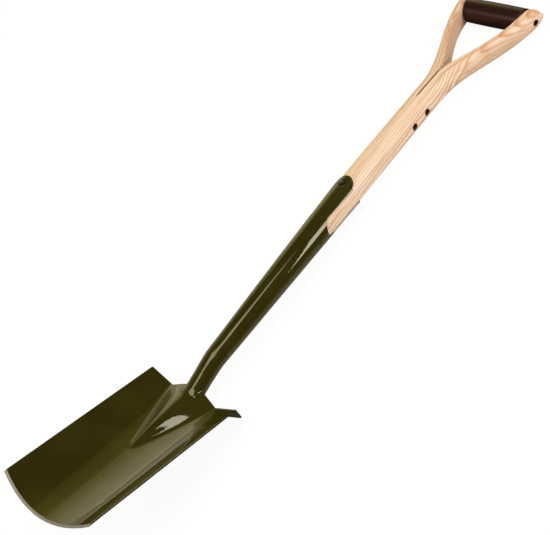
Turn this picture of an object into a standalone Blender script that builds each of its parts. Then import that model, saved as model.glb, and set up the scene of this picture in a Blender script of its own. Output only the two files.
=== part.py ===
"""Border spade: dished blade with folded treads, strapped steel socket, ash shaft with a split handle.

The working frame has X across the blade, Y to the back and Z up the shaft, from an origin on the shaft line
at the treads. Everything hangs on one empty, which lays the finished spade on its back.
"""
import math

import bmesh
import bpy
from mathutils import Matrix, Vector

MM = 0.001

# Clearances: what touches keeps the seat gap, and the weld bridges the wider root gap
SEAT_GAP = 0.3 * MM
WELD_ROOT_GAP = 1.0 * MM

# Blade, pressed from sheet. Heights over the blade are measured along its own front direction.
BLADE_LIFT = math.radians(19.8)
BLADE_HALF_WIDTH = 73.2 * MM
BLADE_TOP_HALF_WIDTH = 72.0 * MM
BLADE_SIDE_LENGTH = 234.0 * MM
BLADE_EDGE_HEIGHT = -4.8 * MM
BLADE_DISH = 19.0 * MM
BLADE_TIP_BULGE = 14.0 * MM
SHEET_THICKNESS = 2.3 * MM
GROUND_EDGE_WIDTH = 3.2 * MM
GROUND_EDGE_THICKNESS = 0.7 * MM

# Treads, the blade's top edge folded back
TREAD_LINE = 2.0 * MM
TREAD_DEPTH = 21.0 * MM
TREAD_RISE = math.radians(25.0)
TREAD_BEND_RADIUS = 4.0 * MM
TREAD_STRAIGHTENING = 45.0 * MM

# Frog, the raised triangle that carries the socket's load into the blade
FROG_HALF_WIDTH = 39.3 * MM
FROG_LENGTH = 106.0 * MM
FROG_SIDE_POWER = 0.82
FROG_CREST_HEIGHT = -4.6 * MM
FROG_CREST_BOW = 2.0 * MM
FROG_CREST_ROUNDING = 0.22
FROG_POINT_HALF_WIDTH = 6.0 * MM
SHOULDER_LINE = 8.2 * MM

# Socket, a tapered tube whose upper end is two straps
SOCKET_NECK_RADIUS = 13.1 * MM
SOCKET_TOP_RADIUS = 21.2 * MM
SOCKET_BELLY = 0.1 * MM
SOCKET_NECK = 20.0 * MM
SOCKET_TOP = 350.0 * MM
SOCKET_WALL = 1.8 * MM
CRANK_HEIGHT = 46.0 * MM
CRANK_SLOPE = 0.24
CRANK_SOFTNESS = 6.0 * MM
STRAP_HALF_WIDTH = 13.9 * MM
WINDOW_HALF_WIDTH = 14.9 * MM
WINDOW_BOTTOM = 270.0 * MM
WELD_LEG = 5.0 * MM
WELD_THROAT = 0.9 * MM
WELD_ROOT_LIFT = 0.45 * MM
WELD_END_CLEARANCE = 0.9 * MM

# Ash shaft, round below and split into two bent arms above
SHAFT_RADIUS = 19.0 * MM
SHAFT_WAIST_RADIUS = 18.3 * MM
SHAFT_WAIST = 534.0 * MM
SHAFT_FOOT = 78.0 * MM
SHAFT_FOOT_CHAMFER = 6.0 * MM
SHAFT_FOOT_INSET = 1.8 * MM
BOW_DEPTH = 5.3 * MM
BOW_POWER = 1.6
BOW_FORWARD = 1.4 * MM
BOW_MIDDLE = 380.0 * MM
BOW_HALF_LENGTH = 330.0 * MM
BOW_FOOT = 75.0 * MM
SPLIT_START = 511.0 * MM
SAW_KERF = 1.2 * MM
SAW_RUN_IN = 4.0 * MM
CROTCH = 565.0 * MM
CROTCH_SLOPE = 0.23
ARM_OUTER_AT_PIN = 66.8 * MM
ARM_OUTER_SLOPE = 0.165
ARM_THICKNESS_AT_PIN = 18.3 * MM
ARM_INNER_SLOPE = 0.158
ARM_HALF_DEPTH = 16.5 * MM
ARM_SLIMMING_HASTE = 1.6
ARM_ROUNDING_HASTE = 2.0
ARM_EDGE_ROUNDING = 4.9 * MM
KERF_EDGE_ROUNDING = 0.3 * MM
ARM_END_RADIUS = 19.9 * MM
ARM_END_EASING = 3.0 * MM
HANDLE_TWIST = math.radians(-2.4)

# Grip and its pin
PIN_HEIGHT = 707.2 * MM
PIN_RADIUS = 3.0 * MM
PIN_HEAD_RADIUS = 4.3 * MM
PIN_HEAD_THICKNESS = 1.8 * MM
PIN_RECESS_RADIUS = 4.8 * MM
PIN_RECESS_DEPTH = 4.5 * MM
GRIP_MIDDLE_RADIUS = 17.8 * MM
GRIP_END_RADIUS = 17.2 * MM
GRIP_EDGE = 1.2 * MM
GRIP_SEAT_REACH = 1.4

# Rivets
STRAP_RIVET_HEIGHT = 336.0 * MM
STRAP_RIVET_RADIUS = 3.0 * MM
STRAP_RIVET_HEAD_RADIUS = 4.6 * MM
STRAP_RIVET_HEAD_DEPTH = 1.7 * MM
STRAP_RIVET_SINK = 0.5 * MM
SOCKET_RIVET_HEIGHT = 254.5 * MM
SOCKET_RIVET_RADIUS = 2.0 * MM
SOCKET_RIVET_HEAD_RADIUS = 3.3 * MM
SOCKET_RIVET_HEAD_RISE = 1.0 * MM
SPLIT_RIVET_HEIGHTS = (473.0 * MM, 503.0 * MM)
SPLIT_RIVET_RADIUS = 2.5 * MM
SPLIT_RIVET_HEAD_RADIUS = 4.7 * MM
SPLIT_RIVET_HEAD_THICKNESS = 1.6 * MM
SPLIT_RIVET_RECESS_RADIUS = 5.2 * MM
SPLIT_RIVET_RECESS_DEPTH = 5.0 * MM
BURR_THICKNESS = 1.0 * MM
PEEN_SHARE = 0.75
HEAD_FLAT_SHARE = 0.6
HEAD_DOME_SHARE = 0.6

# Cutters reach past what they cut
CUTTER_REACH = 32.0 * MM
CUTTER_OVERRUN = 10.0 * MM

# Finishes: colour, roughness and metallic value
OLIVE_PAINT = ((0.040, 0.032, 0.005), 0.22, 0.0)
ASH_WOOD = ((0.82, 0.58, 0.33), 0.5, 0.0)
STAINED_WOOD = ((0.016, 0.008, 0.006), 0.3, 0.0)
RIVET_STEEL = ((0.05, 0.035, 0.025), 0.45, 0.9)

# Mesh fineness
ROUND_SEGMENTS = 32
RIVET_SEGMENTS = 16
WOOD_HALF_SEGMENTS = 12
NOTCH_COLUMNS = 4
FLANK_COLUMNS = 4
WING_COLUMNS = 5
TIP_INNER_HALF_WIDTH = 30.0 * MM
BLADE_ROWS = 22
GROUND_EDGE_LEVEL = 0.02
BEND_ROWS = 3
SOCKET_ROWS = 16
SOCKET_ROW_CROWDING = 1.5
ARM_END_TURNS = (15, 30, 45, 58, 70, 81)


def clamp(value, low=0.0, high=1.0):
    return max(low, min(high, value))


def mix(start, end, share):
    return start + (end - start) * share


def smooth_step(share):
    share = clamp(share)
    return share * share * (3.0 - 2.0 * share)


def hermite(at, start, end, start_value, end_value, start_slope, end_slope):
    """Cubic curve from start to end with a given value and slope at each."""
    span = end - start
    t = clamp((at - start) / span)
    value = (2 * t**3 - 3 * t**2 + 1) * start_value + (3 * t**2 - 2 * t**3) * end_value
    return value + span * ((t**3 - 2 * t**2 + t) * start_slope + (t**3 - t**2) * end_slope)


def steps(start, end, count):
    """Evenly spaced values from start to end, both included."""
    return [mix(start, end, i / count) for i in range(count + 1)]


# Objects and materials

def make_material(name, finish):
    colour, roughness, metallic = finish
    material = bpy.data.materials.new(name)
    material.use_nodes = True
    shader = material.node_tree.nodes["Principled BSDF"]
    shader.inputs["Base Color"].default_value = (*colour, 1.0)
    shader.inputs["Roughness"].default_value = roughness
    shader.inputs["Metallic"].default_value = metallic
    return material


def make_object(name, bm, finish, spade, smooth_angle=30.0):
    """Turn a bmesh into a smooth, named object with its own material, hung on the spade's empty."""
    bmesh.ops.recalc_face_normals(bm, faces=bm.faces)
    mesh = bpy.data.meshes.new(name)
    bm.to_mesh(mesh)
    bm.free()
    mesh.shade_smooth()
    mesh.set_sharp_from_angle(angle=math.radians(smooth_angle))
    obj = bpy.data.objects.new(name, mesh)
    bpy.context.collection.objects.link(obj)
    obj.parent = spade
    if finish:
        mesh.materials.append(make_material(name + "_finish", finish))
    return obj


def make_cutter(name, bm, spade):
    cutter = make_object(name, bm, None, spade)
    cutter.hide_render = True
    cutter.display_type = 'WIRE'
    return cutter


def cut(obj, cutter):
    modifier = obj.modifiers.new("cut_" + cutter.name, 'BOOLEAN')
    modifier.operation = 'DIFFERENCE'
    modifier.solver = 'EXACT'
    modifier.object = cutter


def turned_bmesh(profile, segments, closed=False):
    """Lathe a profile of (along, radius) points round the X axis. Closed profiles make rings."""
    bm = bmesh.new()
    rings = []
    for along, radius in profile:
        if radius == 0.0:
            rings.append([bm.verts.new((along, 0.0, 0.0))])
            continue
        turns = [2 * math.pi * i / segments for i in range(segments)]
        rings.append([bm.verts.new((along, radius * math.cos(a), radius * math.sin(a))) for a in turns])
    pairs = list(zip(rings, rings[1:] + rings[:1])) if closed else list(zip(rings, rings[1:]))
    for ring, after in pairs:
        for i in range(segments):
            corners = [ring[i % len(ring)], ring[(i + 1) % len(ring)]]
            corners += [after[(i + 1) % len(after)], after[i % len(after)]]
            bm.faces.new(list(dict.fromkeys(corners)))
    return bm


def prism_bmesh(outline, low, high):
    """Extrude a flat outline of (across, up) points along X from low to high."""
    bm = bmesh.new()
    floor = [bm.verts.new((low, across, up)) for across, up in outline]
    roof = [bm.verts.new((high, across, up)) for across, up in outline]
    bm.faces.new(floor)
    bm.faces.new(list(reversed(roof)))
    for i in range(len(outline)):
        j = (i + 1) % len(outline)
        bm.faces.new((floor[i], roof[i], roof[j], floor[j]))
    return bm


def along_y(bm):
    """Turn a shape made along X so that it runs along Y, keeping Z up."""
    bmesh.ops.rotate(bm, verts=bm.verts, matrix=Matrix.Rotation(math.radians(90), 3, 'Z'))
    return bm


# Shaft line, socket and shaft sizes by height

def shaft_line(height):
    """How far the shaft's centre lies behind the straight line, from its bow and the socket's crank."""
    from_middle = abs(max(height, BOW_FOOT) - BOW_MIDDLE) / BOW_HALF_LENGTH
    below = CRANK_HEIGHT - height
    crank = CRANK_SLOPE * 0.5 * (below + math.hypot(below, CRANK_SOFTNESS))
    return BOW_DEPTH * from_middle**BOW_POWER - BOW_FORWARD + crank


def socket_radius(height):
    taper = clamp((height - SOCKET_NECK) / (SOCKET_TOP - SOCKET_NECK))
    belly = SOCKET_BELLY * 4.0 * taper * (1.0 - taper)
    return mix(SOCKET_NECK_RADIUS, SOCKET_TOP_RADIUS, taper) + belly


def shaft_radius(height):
    """Round part of the shaft: it fills the socket, then narrows a little towards the split."""
    in_socket = socket_radius(min(height, SOCKET_TOP)) - SOCKET_WALL - SEAT_GAP
    above = smooth_step((height - SOCKET_TOP) / (SHAFT_WAIST - SOCKET_TOP))
    return mix(min(in_socket, SHAFT_RADIUS), SHAFT_WAIST_RADIUS, above)


# Blade surface

def blade_point(across, along, height):
    """A point given in the blade's own directions: across, up the blade, and out of its front."""
    back = along * math.sin(BLADE_LIFT) - height * math.cos(BLADE_LIFT)
    up = along * math.cos(BLADE_LIFT) + height * math.sin(BLADE_LIFT)
    return Vector((across, back, up))


def blade_coordinates(point):
    """Along and height of a point over the blade."""
    along = point.y * math.sin(BLADE_LIFT) + point.z * math.cos(BLADE_LIFT)
    height = point.z * math.sin(BLADE_LIFT) - point.y * math.cos(BLADE_LIFT)
    return along, height


def blade_half_width(along):
    return mix(BLADE_TOP_HALF_WIDTH, BLADE_HALF_WIDTH, (TREAD_LINE - along) / BLADE_SIDE_LENGTH)


def dish_height(across, along):
    share = clamp(abs(across) / blade_half_width(along))
    return BLADE_EDGE_HEIGHT - BLADE_DISH * (1.0 - share**2)


def wing_height(across, along):
    """The dish outside the frog, which runs straight under the treads so that they fold flat."""
    valley = dish_height(FROG_HALF_WIDTH, along)
    share = (abs(across) - FROG_HALF_WIDTH) / (blade_half_width(along) - FROG_HALF_WIDTH)
    straight = mix(valley, BLADE_EDGE_HEIGHT, share)
    blend = smooth_step((along - TREAD_LINE + TREAD_STRAIGHTENING) / TREAD_STRAIGHTENING)
    if share < 0.0:
        return dish_height(across, along)
    return mix(dish_height(across, along), straight, blend)


def frog_half_width(along):
    """The frog's sides bow out a little between its point and its shoulders."""
    share = max(along + FROG_LENGTH, 0.0) / (TREAD_LINE + FROG_LENGTH)
    return FROG_HALF_WIDTH * share**FROG_SIDE_POWER


def frog_height(share, along, half_width):
    """Height of the frog's tent: share is 0 on its rounded crest and 1 in its valleys."""
    rise = (along + FROG_LENGTH) / (SHOULDER_LINE + FROG_LENGTH)
    crest = mix(dish_height(0.0, along), FROG_CREST_HEIGHT, rise)
    crest += FROG_CREST_BOW * 4.0 * rise * (1.0 - rise)
    rounded = math.hypot(share, FROG_CREST_ROUNDING) - FROG_CREST_ROUNDING
    flank = rounded / (math.hypot(1.0, FROG_CREST_ROUNDING) - FROG_CREST_ROUNDING)
    return mix(crest, dish_height(half_width, along), flank)


def front_height(across, along):
    half_width = frog_half_width(along)
    if abs(across) < half_width:
        return frog_height(abs(across) / half_width, along, half_width)
    return wing_height(across, along)


# Socket surface and its foot on the frog

def socket_point(turn, height, inset=0.0):
    """A point on the socket's wall: turn is 0 at the front and grows towards +X."""
    radius = socket_radius(height) - inset
    return Vector((radius * math.sin(turn), shaft_line(height) - radius * math.cos(turn), height))


def lowest_height(reaches_limit):
    """Lowest height of the socket's wall before reaches_limit(height) turns true, by bisection."""
    high = CRANK_HEIGHT
    low = -CRANK_HEIGHT
    for _ in range(40):
        middle = 0.5 * (low + high)
        if reaches_limit(middle):
            low = middle
        else:
            high = middle
    return high


def foot_height(turn):
    """Lower end of the socket's wall: it stands on the frog in front and is cut at the shoulders behind."""
    def is_trimmed(height):
        point = socket_point(turn, height)
        along, above = blade_coordinates(point)
        return along < SHOULDER_LINE and above < front_height(point.x, along)
    return lowest_height(is_trimmed)


def notch_line(across):
    """Where along the blade the socket's foot meets the frog, across its width."""
    turn = math.asin(clamp(abs(across) / SOCKET_NECK_RADIUS))
    return blade_coordinates(socket_point(turn, foot_height(turn)))[0]


def top_line(across):
    """The sheet's top edge: the notch round the socket, the shoulders, then the level tread line."""
    distance = abs(across)
    if distance <= SOCKET_NECK_RADIUS:
        return notch_line(distance) - WELD_ROOT_GAP
    if distance >= FROG_HALF_WIDTH:
        return TREAD_LINE
    shoulder = notch_line(SOCKET_NECK_RADIUS) - WELD_ROOT_GAP
    share = (distance - SOCKET_NECK_RADIUS) / (FROG_HALF_WIDTH - SOCKET_NECK_RADIUS)
    return mix(shoulder, TREAD_LINE, share)


def cutting_line(across):
    share = clamp(abs(across) / BLADE_HALF_WIDTH)
    return TREAD_LINE - BLADE_SIDE_LENGTH - BLADE_TIP_BULGE * (1.0 - share**2)


# Blade mesh

def frog_shares():
    """Columns over half of the frog, closer together where the socket's notch turns up."""
    notch = SOCKET_NECK_RADIUS / FROG_HALF_WIDTH
    inner = [notch * math.sin(math.radians(90) * i / NOTCH_COLUMNS) for i in range(NOTCH_COLUMNS + 1)]
    return inner + steps(notch, 1.0, FLANK_COLUMNS)[1:]


def column_positions(along):
    """Blade columns at one row, from left to right, with the valleys of the frog on a column each."""
    spread = clamp((-FROG_LENGTH - along) / (BLADE_SIDE_LENGTH - FROG_LENGTH))
    valley = max(frog_half_width(along), mix(FROG_POINT_HALF_WIDTH, TIP_INNER_HALF_WIDTH, spread))
    right = [(share, valley * share) for share in frog_shares()]
    right += [(2.0, across) for across in steps(valley, blade_half_width(along), WING_COLUMNS)[1:]]
    left = [(share, -across) for share, across in reversed(right[1:])]
    return left + right


def blade_row(level):
    """Front surface points of one row: level is 0 at the cutting edge and 1 at the top edge."""
    nominal = mix(TREAD_LINE - BLADE_SIDE_LENGTH, TREAD_LINE, level)
    half_width = frog_half_width(nominal)
    row = []
    for share, across in column_positions(nominal):
        start = cutting_line(across)
        ground = mix(start, start + GROUND_EDGE_WIDTH, min(level / GROUND_EDGE_LEVEL, 1.0))
        rest = max(level - GROUND_EDGE_LEVEL, 0.0) / (1.0 - GROUND_EDGE_LEVEL)
        along = mix(ground, top_line(across), rest)
        if share <= 1.0 and half_width > FROG_POINT_HALF_WIDTH:
            height = frog_height(share, along, abs(across / share) if share else half_width)
        else:
            height = front_height(across, along)
        row.append(blade_point(across, along, height))
    return row


def tread_rows():
    """Rows of the fold and the tread behind it, for the wing columns only."""
    fold = []
    wings = [column for column in column_positions(TREAD_LINE) if abs(column[1]) >= FROG_HALF_WIDTH - 1e-9]
    turn_total = math.radians(90) - TREAD_RISE
    for i in range(1, BEND_ROWS + 2):
        turn = turn_total * min(i, BEND_ROWS) / BEND_ROWS
        flat = TREAD_DEPTH - TREAD_BEND_RADIUS if i > BEND_ROWS else 0.0
        along = TREAD_BEND_RADIUS * math.sin(turn) + flat * math.sin(TREAD_RISE)
        drop = TREAD_BEND_RADIUS * (1.0 - math.cos(turn)) + flat * math.cos(TREAD_RISE)
        row = []
        for _, across in wings:
            height = wing_height(across, TREAD_LINE)
            row.append(blade_point(across, TREAD_LINE + along, height - drop))
        fold.append(row)
    return fold


def make_blade(spade, finish):
    levels = [0.0] + steps(GROUND_EDGE_LEVEL, 1.0, BLADE_ROWS)
    rows = [blade_row(level) for level in levels]
    columns = len(rows[0])
    points = [point for row in rows for point in row]
    quads = []
    for r in range(len(rows) - 1):
        for c in range(columns - 1):
            first = r * columns + c
            quads.append((first, first + 1, first + columns + 1, first + columns))
    wing_indices = list(range(WING_COLUMNS + 1)) + list(range(columns - WING_COLUMNS - 1, columns))
    below = [(len(rows) - 1) * columns + c for c in wing_indices]
    for row in tread_rows():
        above = list(range(len(points), len(points) + len(row)))
        points += row
        for side in (0, WING_COLUMNS + 1):
            for c in range(side, side + WING_COLUMNS):
                quads.append((below[c], below[c + 1], above[c + 1], above[c]))
        below = above
    bm = sheet_bmesh(points, quads, columns)
    return make_object("blade", bm, finish, spade, 25.0)


def sheet_bmesh(points, quads, edge_count):
    """A closed sheet: the given front face, its offset back face and the edges between them.

    The first edge_count points are the cutting edge, where the front is ground down to the edge's thickness.
    """
    bm = bmesh.new()
    front = [bm.verts.new(point) for point in points]
    faces = [bm.faces.new([front[i] for i in quad]) for quad in quads]
    bm.normal_update()
    normals = [vert.normal.copy() for vert in front]
    outline = [edge for edge in bm.edges if edge.is_boundary]
    back = {}
    for vert, normal in zip(front, normals):
        back[vert] = bm.verts.new(vert.co - normal * SHEET_THICKNESS)
    for face in faces:
        bm.faces.new([back[vert] for vert in reversed(face.verts)])
    for edge in outline:
        start, end = edge.verts
        bm.faces.new((start, end, back[end], back[start]))
    for vert, normal in list(zip(front, normals))[:edge_count]:
        vert.co -= normal * (SHEET_THICKNESS - GROUND_EDGE_THICKNESS)
    return bm


# Socket mesh

def make_socket(spade, finish):
    turns = [2 * math.pi * i / ROUND_SEGMENTS for i in range(ROUND_SEGMENTS)]
    feet = [foot_height(turn) for turn in turns]
    bm = bmesh.new()
    walls = []
    for inset in (0.0, SOCKET_WALL):
        rows = []
        for level in steps(0.0, 1.0, SOCKET_ROWS):
            share = level**SOCKET_ROW_CROWDING
            rows.append([bm.verts.new(socket_point(turn, mix(foot, SOCKET_TOP, share), inset))
                         for turn, foot in zip(turns, feet)])
        walls.append(rows)
        for row, above in zip(rows, rows[1:]):
            for i in range(ROUND_SEGMENTS):
                j = (i + 1) % ROUND_SEGMENTS
                bm.faces.new((row[i], row[j], above[j], above[i]))
    outer, inner = walls
    for level in (0, -1):
        for i in range(ROUND_SEGMENTS):
            j = (i + 1) % ROUND_SEGMENTS
            bm.faces.new((outer[level][i], outer[level][j], inner[level][j], inner[level][i]))
    socket = make_object("socket", bm, finish, spade)
    cut(socket, make_window_cutter(spade))
    cut(socket, make_strap_end_cutter(spade))
    cut(socket, make_strap_rivet_cutter(spade, "strap_hole_cutter", SEAT_GAP))
    cut(socket, make_socket_rivet_cutter(spade, "socket_hole_cutter"))
    return socket


def arc(centre_across, centre_up, radius, start, end, count):
    """Points of an arc in degrees, from the across axis towards up."""
    turns = [math.radians(turn) for turn in steps(start, end, count)]
    return [(centre_across + radius * math.cos(turn), centre_up + radius * math.sin(turn)) for turn in turns]


def make_window_cutter(spade):
    """Opens both sides of the socket between the straps, with a round bottom."""
    middle = shaft_line(WINDOW_BOTTOM)
    outline = arc(middle, WINDOW_BOTTOM + WINDOW_HALF_WIDTH, WINDOW_HALF_WIDTH, 180, 360, 16)
    top = SOCKET_TOP + CUTTER_OVERRUN
    outline += [(middle + WINDOW_HALF_WIDTH, top), (middle - WINDOW_HALF_WIDTH, top)]
    return make_cutter("window_cutter", prism_bmesh(outline, -CUTTER_REACH, CUTTER_REACH), spade)


def make_strap_end_cutter(spade):
    """Rounds the free end of both straps."""
    centre = SOCKET_TOP - STRAP_HALF_WIDTH
    reach = CUTTER_REACH
    top = SOCKET_TOP + CUTTER_OVERRUN
    outline = arc(0.0, centre, STRAP_HALF_WIDTH, 0, 180, 16)
    outline += [(-reach, centre), (-reach, top), (reach, top), (reach, centre)]
    bm = prism_bmesh(outline, -reach, reach)
    bmesh.ops.rotate(bm, verts=bm.verts, matrix=Matrix.Rotation(math.radians(-90), 3, 'Z'))
    return make_cutter("strap_end_cutter", bm, spade)


# Weld between socket and frog

def weld_section(turn, tangent):
    """Cross-section of the weld where the socket's wall at this turn meets the frog."""
    height = foot_height(turn)
    corner = socket_point(turn, height)
    up_wall = (socket_point(turn, height + MM) - corner).normalized()
    wall_normal = tangent.cross(up_wall).normalized()
    if wall_normal.dot(corner - Vector((0.0, shaft_line(height), height))) < 0.0:
        wall_normal.negate()
    along, _ = blade_coordinates(corner)
    ahead = blade_point(corner.x, along - MM, front_height(corner.x, along - MM))
    beside = blade_point(corner.x + MM, along, front_height(corner.x + MM, along))
    here = blade_point(corner.x, along, front_height(corner.x, along))
    frog_normal = (beside - here).cross(here - ahead).normalized()
    if frog_normal.dot(blade_point(0.0, 0.0, 1.0) - blade_point(0.0, 0.0, 0.0)) < 0.0:
        frog_normal.negate()
    away = frog_normal.cross(tangent).normalized()
    if away.dot(up_wall) > 0.0:
        away.negate()
    climb = wall_normal.cross(tangent).normalized()
    if climb.dot(up_wall) < 0.0:
        climb.negate()
    lift = (wall_normal + frog_normal).normalized()
    root = corner + lift * WELD_ROOT_LIFT
    wall_toe = corner + climb * WELD_LEG + wall_normal * SEAT_GAP
    frog_toe = corner + away * WELD_LEG + frog_normal * SEAT_GAP
    throat = corner + lift * (WELD_ROOT_LIFT + 2.0 * WELD_THROAT)
    high = wall_toe + wall_normal * SEAT_GAP
    low = frog_toe + frog_normal * SEAT_GAP
    face = [high * (1 - t)**2 + throat * 2 * t * (1 - t) + low * t**2 for t in steps(0.0, 1.0, 4)]
    return [root, wall_toe] + face + [frog_toe]


def weld_half_turn():
    """How far round the socket the weld runs: to a clearance short of the shoulders, by bisection."""
    low = 0.0
    high = math.radians(90)
    for _ in range(40):
        middle = 0.5 * (low + high)
        if notch_line(SOCKET_NECK_RADIUS * math.sin(middle)) < SHOULDER_LINE - WELD_END_CLEARANCE:
            low = middle
        else:
            high = middle
    return low


def make_weld(spade, finish):
    half_turn = weld_half_turn()
    turns = steps(-half_turn, half_turn, 22)
    corners = [socket_point(turn, foot_height(turn)) for turn in turns]
    bm = bmesh.new()
    rings = []
    for i, turn in enumerate(turns):
        tangent = (corners[min(i + 1, len(turns) - 1)] - corners[max(i - 1, 0)]).normalized()
        rings.append([bm.verts.new(point) for point in weld_section(turn, tangent)])
    for ring, after in zip(rings, rings[1:]):
        for i in range(len(ring)):
            j = (i + 1) % len(ring)
            bm.faces.new((ring[i], ring[j], after[j], after[i]))
    bm.faces.new(rings[0])
    bm.faces.new(rings[-1])
    return make_object("socket_weld", bm, finish, spade, 40.0)


# Ash shaft mesh

def arm_outer(height):
    return hermite(height, SHAFT_WAIST, PIN_HEIGHT,
                   SHAFT_WAIST_RADIUS, ARM_OUTER_AT_PIN, 0.0, ARM_OUTER_SLOPE)


def arm_inner_at_pin():
    return ARM_OUTER_AT_PIN - ARM_THICKNESS_AT_PIN


def grip_seat_start():
    """Height from which the arms' inner faces are flat, for the grip to sit between them."""
    return PIN_HEIGHT - GRIP_SEAT_REACH * GRIP_MIDDLE_RADIUS


def arm_inner(height):
    """Inner face of an arm: the saw cut up to the crotch, then the opening; flat beside the grip."""
    saw = 0.5 * SAW_KERF
    if height <= CROTCH:
        return saw * clamp((height - SPLIT_START) / SAW_RUN_IN)
    flat_from = grip_seat_start()
    at_flat = arm_inner_at_pin() + ARM_INNER_SLOPE * (flat_from - PIN_HEIGHT)
    if height >= flat_from:
        return arm_inner_at_pin() + ARM_INNER_SLOPE * (height - PIN_HEIGHT)
    return hermite(height, CROTCH, flat_from, saw, at_flat, CROTCH_SLOPE, ARM_INNER_SLOPE)


def wood_section(height):
    """Outer reach, inner reach, half depth and edge rounding of one half of the shaft."""
    if height <= SPLIT_START:
        radius = shaft_radius(height)
        return radius, 0.0, radius, 0.0
    share = (height - SPLIT_START) / (PIN_HEIGHT - SPLIT_START)
    depth = mix(shaft_radius(SPLIT_START), ARM_HALF_DEPTH, smooth_step(share * ARM_SLIMMING_HASTE))
    opened = smooth_step((height - CROTCH) / (PIN_HEIGHT - CROTCH) * ARM_ROUNDING_HASTE)
    rounding = mix(KERF_EDGE_ROUNDING, ARM_EDGE_ROUNDING, opened)
    outer = arm_outer(height)
    inner = arm_inner(height)
    if height > PIN_HEIGHT:
        over = (height - PIN_HEIGHT) / ARM_END_RADIUS
        round_off = math.sqrt(max(1.0 - over**2, 0.0))
        depth *= round_off
        ease = ARM_END_EASING * (1.0 - round_off)
        inner += ease
        outer = arm_outer(PIN_HEIGHT) + ARM_OUTER_SLOPE * (height - PIN_HEIGHT) - ease
        rounding = min(rounding, 0.5 * depth)
    return outer, inner, depth, rounding


def wood_half_ring(height):
    """Right half of a section: the outer chain from back to front, then the inner chain back again."""
    outer, inner, depth, rounding = wood_section(height)
    centre = shaft_line(height)
    chain = []
    for turn in steps(math.radians(90), math.radians(-90), WOOD_HALF_SEGMENTS):
        across = inner + rounding + (outer - inner - rounding) * max(math.cos(turn), 0.0)
        chain.append((across, centre + depth * math.sin(turn), height))
    if height < SPLIT_START:
        return chain, []
    eased = rounding * (1.0 - math.sqrt(0.5))
    flat = depth - rounding
    front_corner = [(inner + eased, centre - depth + eased, height)]
    face = [(inner, centre + y, height) for y in steps(-flat, flat, 4)]
    back_corner = [(inner + eased, centre + depth - eased, height)]
    return chain, front_corner + face + back_corner


def wood_heights():
    """Stations up the shaft, closer together where it bends or ends."""
    lower = [SHAFT_FOOT, SHAFT_FOOT + SHAFT_FOOT_CHAMFER]
    lower += steps(SHAFT_FOOT + SHAFT_FOOT_CHAMFER, SOCKET_TOP, 6)[1:]
    lower += steps(SOCKET_TOP, SPLIT_START, 4)[1:]
    kerf = [SPLIT_START + SAW_RUN_IN]
    arms = steps(SPLIT_START + SAW_RUN_IN, CROTCH, 5)[1:]
    arms += steps(CROTCH, PIN_HEIGHT, 12)[1:]
    tops = [PIN_HEIGHT + ARM_END_RADIUS * math.sin(math.radians(turn)) for turn in ARM_END_TURNS]
    return lower + kerf + arms + tops


class Welder:
    """Adds faces by coordinates, so that points in one place become one vertex."""

    def __init__(self):
        self.bm = bmesh.new()
        self.known = {}

    def vertex(self, point):
        key = tuple(round(value / (0.001 * MM)) for value in point)
        if key not in self.known:
            self.known[key] = self.bm.verts.new(point)
        return self.known[key]

    def face(self, points):
        corners = list(dict.fromkeys(self.vertex(point) for point in points))
        if len(corners) > 2 and not self.bm.faces.get(corners):
            self.bm.faces.new(corners)


def mirrored(points):
    return [(-x, y, z) for x, y, z in points]


def twisted(points):
    """Turn handle points about the shaft's centre, growing from nothing at the split to the full twist."""
    placed = []
    for x, y, z in points:
        turn = HANDLE_TWIST * smooth_step((z - SPLIT_START) / (grip_seat_start() - SPLIT_START))
        behind = y - shaft_line(z)
        placed.append((x * math.cos(turn) - behind * math.sin(turn),
                       shaft_line(z) + x * math.sin(turn) + behind * math.cos(turn), z))
    return placed


def make_shaft(spade, finish):
    heights = wood_heights()
    rings = [wood_half_ring(height) for height in heights]
    first_chain = rings[0][0]
    shrink = SHAFT_FOOT_INSET / shaft_radius(SHAFT_FOOT)
    middle = shaft_line(SHAFT_FOOT)
    rings[0] = ([(x * (1 - shrink), middle + (y - middle) * (1 - shrink), z) for x, y, z in first_chain], [])
    welder = Welder()
    for (chain, inside), (chain_above, inside_above) in zip(rings, rings[1:]):
        if inside:
            lower = chain + inside
            upper = chain_above + inside_above
            spans = [(i, (i + 1) % len(lower)) for i in range(len(lower))]
        else:
            lower = chain
            upper = chain_above
            spans = [(i, i + 1) for i in range(len(chain) - 1)]
        for i, j in spans:
            quad = [lower[i], lower[j], upper[j], upper[i]]
            welder.face(twisted(quad))
            welder.face(twisted(mirrored(quad)))
    foot = rings[0][0]
    welder.face(foot + mirrored(foot[1:-1])[::-1])
    top = rings[-1][0] + rings[-1][1]
    welder.face(twisted(top))
    welder.face(twisted(mirrored(top)))
    shaft = make_object("ash_shaft", welder.bm, finish, spade, 35.0)
    cut(shaft, make_strap_rivet_cutter(spade, "strap_bore_cutter", SEAT_GAP))
    cut(shaft, make_socket_rivet_cutter(spade, "socket_bore_cutter"))
    for index, height in enumerate(SPLIT_RIVET_HEIGHTS):
        reach = shaft_radius(height)
        floor = reach - SPLIT_RIVET_RECESS_DEPTH
        cutter = make_recess_cutter("split_bore_cutter_%d" % index, height, reach, floor,
                                    SPLIT_RIVET_RADIUS, SPLIT_RIVET_RECESS_RADIUS, spade)
        cut(shaft, cutter)
    floor = ARM_OUTER_AT_PIN - PIN_RECESS_DEPTH
    pin_cutter = make_recess_cutter("pin_bore_cutter", PIN_HEIGHT, ARM_OUTER_AT_PIN, floor,
                                    PIN_RADIUS, PIN_RECESS_RADIUS, spade)
    pin_cutter.rotation_euler.z = HANDLE_TWIST
    cut(shaft, pin_cutter)
    return shaft


# Grip

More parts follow.
